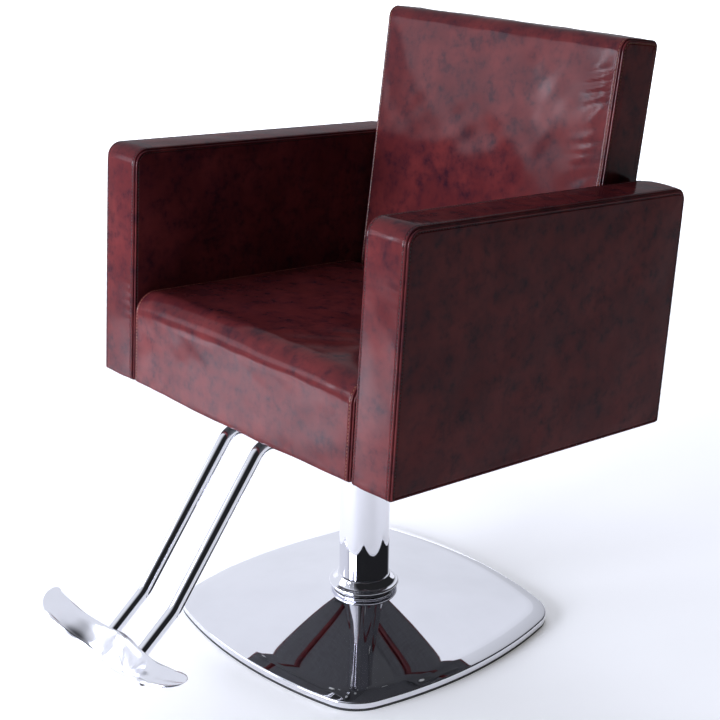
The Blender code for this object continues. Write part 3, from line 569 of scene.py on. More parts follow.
# --- stitching ------------------------------------------------------------------------------------
class StitchTree:
    """A Geometry Nodes tree that sews a row of stitches along curves."""

    def __init__(self) -> None:
        """Build the tree."""
        self.tree = bpy.data.node_groups.new("stitch_row", "GeometryNodeTree")
        self.sockets: dict[str, str] = {}
        interface = self.tree.interface
        interface.new_socket("Geometry", in_out="INPUT", socket_type="NodeSocketGeometry")
        interface.new_socket("Geometry", in_out="OUTPUT", socket_type="NodeSocketGeometry")
        for label, default in (("Pitch", 0.0050), ("Length", 0.0036), ("Thickness", 0.0012)):
            socket = interface.new_socket(label, in_out="INPUT", socket_type="NodeSocketFloat")
            socket.default_value = default
            self.sockets[label] = socket.identifier
        socket = interface.new_socket("Thread", in_out="INPUT", socket_type="NodeSocketMaterial")
        self.sockets["Thread"] = socket.identifier
        self._wire()

    def _node(
        self, kind: str, links: dict[object, object], settings: dict[str, object] | None = None
    ) -> bpy.types.Node:
        """Add one node.

        Args:
            kind: The node's type.
            links: Links or constants for its input sockets, by name or number.
            settings: The node's own properties.

        Returns:
            The node.
        """
        node = self.tree.nodes.new(kind)
        for key, value in (settings or {}).items():
            setattr(node, key, value)
        for key, value in links.items():
            if isinstance(value, bpy.types.NodeSocket):
                self.tree.links.new(value, node.inputs[key])
            else:
                node.inputs[key].default_value = value
        return node

    def _wire(self) -> None:
        """Link the nodes: points along the curve, a stitch on each, realised with its material."""
        given = self._node("NodeGroupInput", {}).outputs
        thick = given["Thickness"]
        spaced = self._node("GeometryNodeResampleCurve", {"Curve": given["Geometry"]}, {"mode": "LENGTH"})
        self.tree.links.new(given["Pitch"], spaced.inputs["Length"])
        ball = self._node("GeometryNodeMeshUVSphere", {"Segments": 6, "Rings": 4, "Radius": 0.5})
        size = self._node("ShaderNodeCombineXYZ", {0: thick, 1: thick, 2: given["Length"]})
        shape = {"Geometry": ball.outputs["Mesh"], "Scale": size.outputs[0]}
        stitch = self._node("GeometryNodeTransform", shape)
        tangent = self._node("GeometryNodeInputTangent", {}).outputs[0]
        turn = self._node("FunctionNodeAlignRotationToVector", {"Vector": tangent}, {"axis": "Z"})
        placed = self._node("GeometryNodeInstanceOnPoints", {
            "Points": spaced.outputs[0],
            "Instance": stitch.outputs[0],
            "Rotation": turn.outputs[0],
        })
        real = self._node("GeometryNodeRealizeInstances", {"Geometry": placed.outputs[0]})
        smooth = self._node("GeometryNodeSetShadeSmooth", {"Geometry": real.outputs[0]})
        sewn = {"Geometry": smooth.outputs[0], "Material": given["Thread"]}
        dressed = self._node("GeometryNodeSetMaterial", sewn)
        self._node("NodeGroupOutput", {"Geometry": dressed.outputs[0]})

    def sew(self, name: str, rows: Sequence[np.ndarray], thread: bpy.types.Material) -> bpy.types.Mesh:
        """Return the stitches along rows of points.

        Args:
            name: The mesh's name.
            rows: Arrays of points that the rows follow.
            thread: The thread's material.

        Returns:
            One mesh that holds every stitch.
        """
        curve = bpy.data.curves.new(name, "CURVE")
        curve.dimensions = "3D"
        for row in rows:
            spline = curve.splines.new("POLY")
            spline.points.add(len(row) - 1)
            spline.points.foreach_set("co", np.c_[row, np.ones(len(row))].ravel())
        guide = bpy.data.objects.new(name, curve)
        bpy.context.scene.collection.objects.link(guide)
        modifier = guide.modifiers.new("stitches", "NODES")
        modifier.node_group = self.tree
        modifier[self.sockets["Thread"]] = thread
        graph = bpy.context.evaluated_depsgraph_get()
        mesh = bpy.data.meshes.new_from_object(guide.evaluated_get(graph), depsgraph=graph)
        guide.modifiers.remove(modifier)
        bpy.data.objects.remove(guide)
        return mesh


# --- upholstery -----------------------------------------------------------------------------------
@dataclass(frozen=True)
class SeatAxes:
    """Where the tilted seat stands."""

    height: float = 0.374
    tilt: float = math.radians(3.5)
    back_y: float = 0.186
    back_lean: float = math.radians(4.3)

    def seat(self) -> Matrix:
        """Return the matrix from the seat's axes to the chair's."""
        return Matrix.Translation((0, 0, self.height)) @ Matrix.Rotation(-self.tilt, 4, "X")

    def back(self) -> Matrix:
        """Return the matrix from the back's axes to the chair's."""
        lean = Matrix.Rotation(-self.back_lean, 4, "X")
        return self.seat() @ Matrix.Translation((0, self.back_y, 0)) @ lean


@dataclass
class Pad:
    """A boxy cushion: two panels joined by a band, with a top-stitched seam along each edge.

    A panel lies in the plane of a and b, and c runs through the cushion's thickness.
    """

    name: str
    low: tuple[float, float]
    high: tuple[float, float]
    depth: tuple[float, float]
    radii: tuple[float, float, float, float]
    axes: Matrix
    panel_crown: tuple[float, float] = (0.003, 0.003)
    swell: Callable[[np.ndarray, np.ndarray], np.ndarray] = lambda place, normals: np.zeros(len(place))
    thread: Thread = Thread.DARK
    edge: float = 0.0050
    seam_depth: float = 0.0014
    groove_width: float = 0.0009
    stitch_offset: float = 0.0051
    stitch_depth: float = 0.0009
    stitch_lift: float = 0.00045
    welt_height: float = 0.0005
    welt_width: float = 0.0014
    pucker: float = 0.00030
    pucker_wave: float = 0.0125
    slack: float = 0.0007
    crown_reach: float = 0.11
    seed: int = 1
    spacing: float = 0.004
    fine_step: float = 0.00075
    fine_reach: float = 0.0120

    def outline(self, inset: float) -> tuple[np.ndarray, np.ndarray]:
        """Return the outline drawn in by an inset.

        Args:
            inset: How far it is drawn in.

        Returns:
            Its points and their outward normals.
        """
        a0, b0 = self.low[0] + inset, self.low[1] + inset
        a1, b1 = self.high[0] - inset, self.high[1] - inset
        radii = [max(radius - inset, 0.0004) for radius in self.radii]
        corners = [(a1, b0, -90.0, 1), (a1, b1, 0.0, 2), (a0, b1, 90.0, 3), (a0, b0, 180.0, 0)]
        points: list[np.ndarray] = []
        normals: list[np.ndarray] = []
        arcs = []
        for a, b, start, index in corners:
            radius = radii[index]
            across = math.copysign(radius, a - (a0 + a1) / 2)
            along = math.copysign(radius, b - (b0 + b1) / 2)
            centre = np.array([a - across, b - along])
            steps = max(4, int(self.radii[index] * math.pi / 2 / self.spacing) + 1)
            turn = np.radians(start + 90.0 * np.arange(steps + 1) / steps)
            normal = np.stack([np.cos(turn), np.sin(turn)], axis=1)
            arcs.append((centre + radius * normal, normal))
        lengths = (self.high[1] - self.low[1], self.high[0] - self.low[0])
        for k, (arc, normal) in enumerate(arcs):
            following = arcs[(k + 1) % 4][0][0]
            points.append(arc)
            normals.append(normal)
            steps = int(lengths[k % 2] / self.spacing)
            share = (np.arange(1, steps) / steps)[:, None]
            points.append(arc[-1] * (1 - share) + following * share)
            normals.append(np.repeat(normal[-1:], steps - 1, axis=0))
        return np.concatenate(points), np.concatenate(normals)

    def _cross_section(self) -> list[tuple[float, float, float, float, float, int]]:
        """Return the section from one panel's middle to the other's.

        Returns:
            For each ring its inset, its scale towards the middle, its c, how far its normal leans
            towards c, its distance across the nearer seam, positive on the panel, and the side.
        """
        c_low, c_high = self.depth
        quarter = self.edge * math.pi / 4
        reach = np.arange(-self.fine_reach, self.fine_reach + self.fine_step / 2, self.fine_step)
        half: list[tuple[float, float, float, float, float]] = []
        for u in reach[::-1]:
            if u > quarter:
                half.append((self.edge + u - quarter, 1.0, 0.0, 1.0, u))
            elif u > -quarter:
                lean = math.pi / 4 + u / self.edge
                inset = self.edge * (1 - math.cos(lean))
                half.append((inset, 1.0, self.edge * (1 - math.sin(lean)), math.sin(lean), u))
            else:
                half.append((0.0, 1.0, self.edge - quarter - u, 0.0, u))
        inset = half[0][0]
        scales = 1.0 - np.linspace(0.0, 0.97, 26)[1:] ** 1.15
        inner = [(inset, scale, 0.0, 1.0, 0.05) for scale in scales[::-1]]
        section = [(d, k, c_low + c, -lean, u, 0) for d, k, c, lean, u in inner + half]
        start = half[-1][2]
        width = (c_high - c_low) - 2 * start
        steps = max(3, int(width / 0.009))
        section += [(0.0, 1.0, c_low + start + width * k / steps, 0.0, -0.05, 2) for k in range(1, steps)]
        section += [(d, k, c_high - c, lean, u, 1) for d, k, c, lean, u in half[::-1] + inner[::-1]]
        return section

    def _relief(self, flat: np.ndarray, c: float, lean: float, u: float, side: int, place: np.ndarray,
                arc: np.ndarray, normals: np.ndarray) -> np.ndarray:
        """Return how far each point of a ring stands out along its normal.

        Args:
            flat: The ring's points in the panel's plane.
            c: The ring's place through the thickness.
            lean: How far its normal leans towards c.
            u: Its distance across the nearer seam.
            side: 0 and 1 by a seam, 2 in the middle of the band.
            place: The ring's points in the cushion's axes.
            arc: How far round the outline each point lies.
            normals: The outline's outward normals.

        Returns:
            One height for each point.
        """
        height = np.zeros(len(flat))
        middle = (self.depth[0] + self.depth[1]) / 2
        reach = (self.depth[1] - self.depth[0]) / 2
        on_panel = abs(lean)
        size = np.array(self.high) - np.array(self.low)
        centre = (np.array(self.high) + np.array(self.low)) / 2
        gap = np.clip(np.min(size / 2 - np.abs(flat - centre), axis=1), 0.0, None)
        share = np.clip(gap / self.crown_reach, 0.0, 1.0)
        crown = self.panel_crown[0] if lean < 0 else self.panel_crown[1]
        height += on_panel * crown * (1 - (1 - share) ** 2.2)
        across = np.clip(abs(c - middle) / reach, 0.0, 1.0)
        height += (1 - on_panel) * self.swell(place, normals) * (1 - across**2.4)
        if side < 2:
            distance = abs(u)
            row = distance - self.stitch_offset
            welt = distance - self.stitch_offset / 2
            height -= self.seam_depth * math.exp(-((distance / self.groove_width) ** 2))
            height -= self.stitch_depth * math.exp(-((row / self.groove_width) ** 2))
            height += self.welt_height * math.exp(-((welt / self.welt_width) ** 2))
        near = math.exp(-max(0.0, (abs(u) if side < 2 else 0.05) - self.stitch_offset) / 0.010)
        beat = np.sin(arc * TAU / self.pucker_wave + 2.5 * np.sin(arc * TAU / 0.23 + self.seed))
        strength = 0.55 + 0.45 * np.sin(arc * TAU / 0.31 + 1.7 * self.seed)
        height += self.pucker * near * beat * strength * (0.4 if abs(u) < self.stitch_offset else 1.0)
        calm = 1.0 - math.exp(-max(0.0, abs(u) - 0.004) / 0.02) if side < 2 else 1.0
        height += self.slack * calm * ripple(place, 0.115, self.seed)
        height += self.slack * 0.35 * calm * ripple(place, 0.042, self.seed + 7)
        return height

    def rings(self) -> tuple[list[np.ndarray], list[np.ndarray]]:
        """Return the surface's rings and the rows that the stitches follow.

        Returns:
            The rings from one panel's middle to the other's, and the stitch rows.
        """
        base, normals = self.outline(0.0)
        step = np.linalg.norm(np.diff(base, axis=0), axis=1)
        arc = np.concatenate([[0.0], np.cumsum(step)])
        centre = (np.array(self.high) + np.array(self.low)) / 2
        resting = normals[:, 1] < -0.5
        rings = []
        rows = []
        matrix = np.array(self.axes)
        for inset, scale, c, lean, u, side in self._cross_section():
            flat = centre + (self.outline(inset)[0] - centre) * scale
            place = np.c_[flat, np.full(len(flat), c)]
            height = self._relief(flat, c, lean, u, side, place, arc, normals)
            out = math.sqrt(max(0.0, 1 - lean * lean))
            height = np.where(resting & (out > 0.5), np.minimum(height, 0.0), height)
            point = place + height[:, None] * np.c_[normals * out, np.full(len(flat), lean)]
            point[:, 1] = np.maximum(point[:, 1], self.low[1])
            ring = self._to_chair(point, matrix)
            rings.append(ring)
            if side < 2 and abs(abs(u) - self.stitch_offset) < self.fine_step / 2:
                lifted = point + self.stitch_lift * np.c_[normals * out, np.full(len(flat), lean)]
                keep = ~resting
                rows.append(self._to_chair(np.roll(lifted, -self._first(keep), axis=0)[: keep.sum()], matrix))
        return rings, rows

    @staticmethod
    def _first(keep: np.ndarray) -> int:
        """Return where the kept stretch of a closed outline starts.

        Args:
            keep: True for each point that is kept.

        Returns:
            The first kept point's number.
        """
        for i in range(len(keep)):
            if keep[i] and not keep[i - 1]:
                return i
        return 0

    @staticmethod
    def _to_chair(points: np.ndarray, matrix: np.ndarray) -> np.ndarray:
        """Return points in the chair's axes."""
        return points @ matrix[:3, :3].T + matrix[:3, 3]

    def build(self, shop: Workshop, stitches: StitchTree, replaces: Iterable[str]) -> bpy.types.Object:
        """Build the cushion and its stitches.

        Args:
            shop: Fits the pieces.
            stitches: Sews the rows.
            replaces: The CAD nodes that the cushion stands for.

        Returns:
            The cushion.
        """
        rings, rows = self.rings()
        mesh = mesh_from(self.name, rings, closed=False, sharp=75.0)
        piece = shop.fit(self.name, mesh, Slot.LEATHER, "seat", replaces)
        thread = shop.thread(self.thread)
        seams = stitches.sew(f"{self.name}_stitches", rows, thread)
        shop.fit(f"{self.name}_stitches", seams, Slot.LEATHER, "seat", material=thread)
        return piece


@dataclass
class Upholstery:
    """The seat cushion, the two arms and the back."""

    axes: SeatAxes = field(default_factory=SeatAxes)
    seat_half_width: float = 0.2515
    arm_inner: float = 0.255
    arm_outer: float = 0.332
    arm_front: float = -0.260
    arm_rear: float = 0.300
    arm_height: float = 0.362
    seat_rear: float = 0.184
    seat_height: float = 0.144
    back_half_width: float = 0.245
    back_height: float = 0.571
    back_thickness: float = 0.083
    seat_crown: tuple[float, float] = (0.0085, 0.0045)
    arm_crown: tuple[float, float] = (0.0018, 0.0035)
    back_crown: tuple[float, float, float] = (0.0090, 0.0030, 0.0012)
    fold_depth: float = 0.0050
    fold_wave: float = 0.021
    cloth: float = 0.0007
    cloth_thickness: float = 0.0006
    cloth_inset: float = 0.008

    def _profile_axes(self, axes: Matrix) -> Matrix:
        """Return the matrix from (y, z, x) in a group's axes to the chair's."""
        return axes @ Matrix(((0, 0, 1, 0), (1, 0, 0, 0), (0, 1, 0, 0), (0, 0, 0, 1)))

    def seat(self) -> Pad:
        """Shape the seat cushion.

        Returns:
            The cushion, crowned on top and in front.
        """
        return Pad(
            "seat_cushion", (self.arm_front, self.cloth), (self.seat_rear, self.seat_height),
            (-self.seat_half_width, self.seat_half_width), (0.006, 0.006, 0.012, 0.034),
            self._profile_axes(self.axes.seat()), (0.0, 0.0), self._seat_swell, Thread.TAN, edge=0.0060,
            slack=0.0009, crown_reach=0.06, seed=3,
        )

    def _seat_swell(self, place: np.ndarray, normals: np.ndarray) -> np.ndarray:
        """Return how far the seat's cover swells, by the way it faces."""
        top, front = self.seat_crown
        return top * np.clip(normals[:, 1], 0.0, 1.0) + front * np.clip(-normals[:, 0], 0.0, 1.0)

    def _arm_swell(self, place: np.ndarray, normals: np.ndarray) -> np.ndarray:
        """Return an arm's even crown, fuller on the upper rear."""
        even, rear = self.arm_crown
        return even + rear * np.clip(normals[:, 0], 0.0, 1.0) * place[:, 1] / self.arm_height

    def _back_swell(self, place: np.ndarray, normals: np.ndarray) -> np.ndarray:
        """Return the back's crown and the pulled folds by its upper side seam.

        Args:
            place: Points of a ring in the cushion's axes.
            normals: The outline's outward normals there.

        Returns:
            One height for each point.
        """
        front, rear, top = self.back_crown
        ahead = np.clip(-normals[:, 0], 0.0, 1.0)
        behind = np.clip(normals[:, 0], 0.0, 1.0)
        up = place[:, 1]
        inward = self.back_half_width - place[:, 2]
        crown = (front * ahead + rear * behind) * (1 - np.abs(2 * up / self.back_height - 1) ** 3)
        near = np.exp(-(((inward - 0.014) / 0.012) ** 2))
        far = 0.40 * np.exp(-(((inward - 0.036) / 0.018) ** 2))
        high = np.exp(-(((up - 0.500) / 0.030) ** 2))
        low = 0.55 * np.exp(-(((up - 0.400) / 0.050) ** 2))
        phase = up * TAU / self.fold_wave + inward * 120.0 + 2.2 * np.sin(up * 63.0)
        folds = self.fold_depth * (near + far) * (high + low) * np.sin(phase) * ahead
        return crown + top * np.clip(normals[:, 1], 0.0, 1.0) + folds

    def arm(self, label: str, side: int) -> Pad:
        """Return one arm.

        Args:
            label: Its side's name.
            side: -1 for the chair's left in its own axes, 1 for its right.

        Returns:
            The arm's cushion.
        """
        depth = sorted((side * self.arm_inner, side * self.arm_outer))
        crowns = (0.0035, 0.0020) if side < 0 else (0.0020, 0.0035)
        return Pad(
            f"arm_{label}", (self.arm_front, self.cloth), (self.arm_rear, self.arm_height),
            (depth[0], depth[1]), (0.006, 0.006, 0.018, 0.023), self._profile_axes(self.axes.seat()), crowns,
            self._arm_swell, seed=11 + side,
        )

    def back(self) -> Pad:
        """Shape the back.

        Returns:
            The cushion: front, top and rear in one piece between two side panels.
        """
        return Pad(
            "back_cushion", (0.0, 0.0), (self.back_thickness, self.back_height),
            (-self.back_half_width, self.back_half_width), (0.006, 0.006, 0.010, 0.018),
            self._profile_axes(self.axes.back()), (0.0015, 0.0015), self._back_swell, Thread.TAN,
            slack=0.0008, crown_reach=0.03, seed=23,
        )

    def _cloth(self, shop: Workshop, name: str, axes: Matrix, low: Sequence[float], high: Sequence[float],
               replaces: Iterable[str] = ()) -> None:
        """Put one dust cloth under a cushion.

        Args:
            shop: Fits the piece.
            name: The piece's name.
            axes: The matrix from the cushion's axes to the chair's.
            low: The cloth's lowest x, y and z.
            high: Its highest x and y.
            replaces: The CAD nodes that it stands for.
        """
        top = low[2] + self.cloth_thickness
        matrix = np.array(axes)
        rings = []
        for z, shrink in ((low[2], 0.0), (top, 0.0), (top, 0.0015)):
            x0, y0, x1, y1 = low[0] + shrink, low[1] + shrink, high[0] - shrink, high[1] - shrink
            ring = np.array([(x0, y0, z), (x1, y0, z), (x1, y1, z), (x0, y1, z)])
            rings.append(ring @ matrix[:3, :3].T + matrix[:3, 3])
        shop.fit(name, mesh_from(name, rings, closed=False), Slot.CLOTH, "seat", replaces)

    def build(self, shop: Workshop, stitches: StitchTree) -> None:
        """Build every cushion and the dust cloths below them.

        Args:
            shop: Fits the pieces.
            stitches: Sews the rows.
        """
        inset = self.cloth_inset
        axes = self.axes.seat()
        front = self.arm_front + inset
        reach = self.seat_half_width - 0.006
        rear = self.seat_rear - 0.006
        self.seat().build(shop, stitches, ["seat_cover", "seat_foam"])
        self._cloth(shop, "dust_cloth", axes, (-reach, front, -0.0001), (reach, rear), ["dust_cover"])
        for label, side in (("left", -1), ("right", 1)):
            self.arm(label, side).build(shop, stitches, [f"arm_cover_{label}", f"arm_foam_{label}"])
            low, high = sorted((side * (self.arm_inner + inset), side * (self.arm_outer - inset)))
            corner = (high, self.arm_rear - inset)
            self._cloth(shop, f"arm_cloth_{label}", axes, (low, front, -0.0001), corner)
        self.back().build(shop, stitches, ["back_cover", "back_foam"])
        reach = self.back_half_width - inset
        corner = (reach, self.back_thickness - inset)
        self._cloth(shop, "back_cloth", self.axes.back(), (-reach, inset, -0.0010), corner)


# --- base and column ------------------------------------------------------------------------------
@dataclass
class PressedBase:
    """The square pressed base: a domed sheet with a bevelled rim and a thin rubber edge."""

    half: float = 0.251
    bulge: float = 0.021
    corner: float = 0.072
    sheet: float = 0.002
    foot: float = 0.0048
    edge_top: float = 0.0120
    rim_top: float = 0.0205
    rim_band: float = 0.022
    dome_power: float = 1.10
    top: float = 0.0520
    hole: float = 0.0370
    edge_round: tuple[float, float] = (0.0035, 0.0028)
    trim_height: float = 0.0045
    trim_width: float = 0.009

    def outline(self, inset: float) -> np.ndarray:
        """Return the outline drawn in by an inset.

        Args:
            inset: How far it is drawn in.

        Returns:
            Its (x, y) points.
        """
        corner = self.corner - inset
        half = self.half - self.corner - self.bulge
        side_radius = (half**2 + self.bulge**2) / (2 * self.bulge)
        sweep = math.asin(half / side_radius)
        centre = half + self.bulge - side_radius
        side = -sweep + 2 * sweep * np.arange(26) / 26
        turn = sweep + (math.pi / 2 - 2 * sweep) * np.arange(16) / 16
        reach = side_radius + corner
        first = np.stack([centre + reach * np.cos(side), reach * np.sin(side)], axis=1)
        second = np.stack([half + corner * np.cos(turn), half + corner * np.sin(turn)], axis=1)
        quarter = np.concatenate([first, second])
        quarters = []
        for turn in np.arange(4) * math.pi / 2:
            spin = np.array([[math.cos(turn), math.sin(turn)], [-math.sin(turn), math.cos(turn)]])
            quarters.append(quarter @ spin)
        return np.concatenate(quarters)

    def level(self, inset: float, z: float) -> np.ndarray:
        """Return the outline at a height."""
        flat = self.outline(inset)
        return np.c_[flat, np.full(len(flat), z)]

    def dome(self, share: float, drop: float) -> np.ndarray:
        """Return a ring of the dome.

        Args:
            share: Where it lies, from the rim at 0 to the hole at 1.
            drop: How far it is lowered.

        Returns:
            The ring's points.
        """
        flat = self.outline(self.rim_band)
        reach = np.linalg.norm(flat, axis=1)
        radius = reach + (self.hole - reach) * share
        height = self.rim_top + (self.top - self.rim_top) * share**self.dome_power
        return np.c_[flat / reach[:, None] * radius[:, None], np.full(len(flat), height - drop)]

    def _rim(self) -> list[np.ndarray]:
        """Shape the edge and the bevelled rim.

        Returns:
            Their rings, from the floor up.
        """
        rings = [self.level(0.0, z) for z in (self.foot, self.foot + 0.0006, self.edge_top - 0.0004)]
        across, up = self.edge_round
        start = low = 0.0
        for k in range(1, 6):
            turn = math.radians(14 * k)
            start = across * (1 - math.cos(turn))
            low = self.edge_top + up * math.sin(turn)
            rings.append(self.level(start, low))
        for share in np.linspace(0.0, 1.0, 9)[1:-1]:
            rise = low + (self.rim_top - low) * (share * 1.12 - 0.12 * share**2)
            rings.append(self.level(start + (self.rim_band - start) * share, rise))
        return rings

    def build(self, shop: Workshop) -> None:
        """Build the sheet and its rubber edge.

        Args:
            shop: Fits the pieces.
        """
        shares = np.linspace(0.0, 1.0, 22)
        outside = self._rim() + [self.dome(share, 0.0) for share in shares]
        inside = [self.dome(share, self.sheet) for share in shares[::-2]]
        inside += [self.level(0.0045, self.edge_top + 0.0012), self.level(self.sheet, self.foot)]
        shell = mesh_from("base_dome", outside + inside, closed=True, sharp=50.0)
        shop.fit("base_dome", shell, Slot.CHROME, "base", ["base_shell"])
        trim = [
            (0.0008, 0.0), (0.0005, 0.0006), (0.0005, self.trim_height), (0.0020, self.trim_height),
            (self.trim_width, self.trim_height), (self.trim_width, 0.0),
        ]
        ring = mesh_from("base_edging", [self.level(inset, z) for inset, z in trim], closed=True)
        shop.fit("base_edging", ring, Slot.RUBBER, "base", ["edge_trim"])


@dataclass
class Column:
    """The parts that show on the column: the collar ring and the cover sleeve."""

    sleeve_radius: float = 0.040
    sleeve_wall: float = 0.0025
    heading: float = math.radians(135)
    slot_half_angle: float = math.radians(7.6)
    collar_top: float = 0.0740
    bead_centre: tuple[float, float] = (0.0532, 0.0588)
    bead_radius: float = 0.0030
    flank_foot: tuple[float, float] = (0.0502, 0.0622)
    flank_top_radius: float = 0.0425

    def _collar_profile(self) -> list[tuple[float, float]]:
        """Draw the collar's section.

        Returns:
            Its (radius, height) points: a stepped foot, a round bead and a flared flank.
        """
        radius, height = self.bead_centre
        turns = [math.radians(-100 + 195 * k / 12) for k in range(13)]
        bead = [
            (radius + self.bead_radius * math.cos(t), height + self.bead_radius * math.sin(t)) for t in turns
        ]
        wide, low = self.flank_foot
        rise = self.collar_top - 0.0006 - low
        narrow = self.flank_top_radius
        flank = [(wide + (narrow - wide) * k, low + rise * k**1.25) for k in np.linspace(0.0, 1.0, 9)]
        foot = [(0.0355, 0.0523), (0.0508, 0.0510), (0.0514, 0.0516), (0.0516, 0.0552)]
        return foot + bead + flank + [(0.0418, self.collar_top), (0.0355, self.collar_top)]

    def _collar(self) -> bpy.types.Mesh:
        """Turn the collar.

        Returns:
            Its mesh, open where the pedal lever comes out.
        """
        profile = self._collar_profile()
        start = self.heading + self.slot_half_angle
        sweep = TAU - 2 * self.slot_half_angle
        rings = []
        for k in range(97):
            turn = start + sweep * k / 96
            rings.append(np.array([(r * math.cos(turn), r * math.sin(turn), z) for r, z in profile]))
        return mesh_from("collar", rings, closed=False, sharp=42.0)

    def _tube(self, name: str, outer: float, wall: float, node: str) -> bpy.types.Mesh:
        """Turn a tube with eased ends.

        Args:
            name: The mesh's name.
            outer: The outer radius.
            wall: The wall's thickness.
            node: The CAD node that it is as tall as.

        Returns:
            The mesh.
        """
        low, high = (corner.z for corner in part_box(node))
        ease = 0.0005
        inner = outer - wall
        profile = [
            (inner, low), (outer - ease, low), (outer, low + ease), (outer, high - ease),
            (outer - ease, high), (inner, high),
        ]
        return turned(name, profile, 128)

    def build(self, shop: Workshop) -> None:
        """Build the column.

        Args:
            shop: Fits the pieces.
        """
        shop.fit("collar", self._collar(), Slot.CHROME, "base", ["collar_ring"])
        sleeve = self._tube("cover_sleeve", self.sleeve_radius, self.sleeve_wall, "column_sleeve")
        shop.fit("cover_sleeve", sleeve, Slot.CHROME, "seat", ["column_sleeve"])


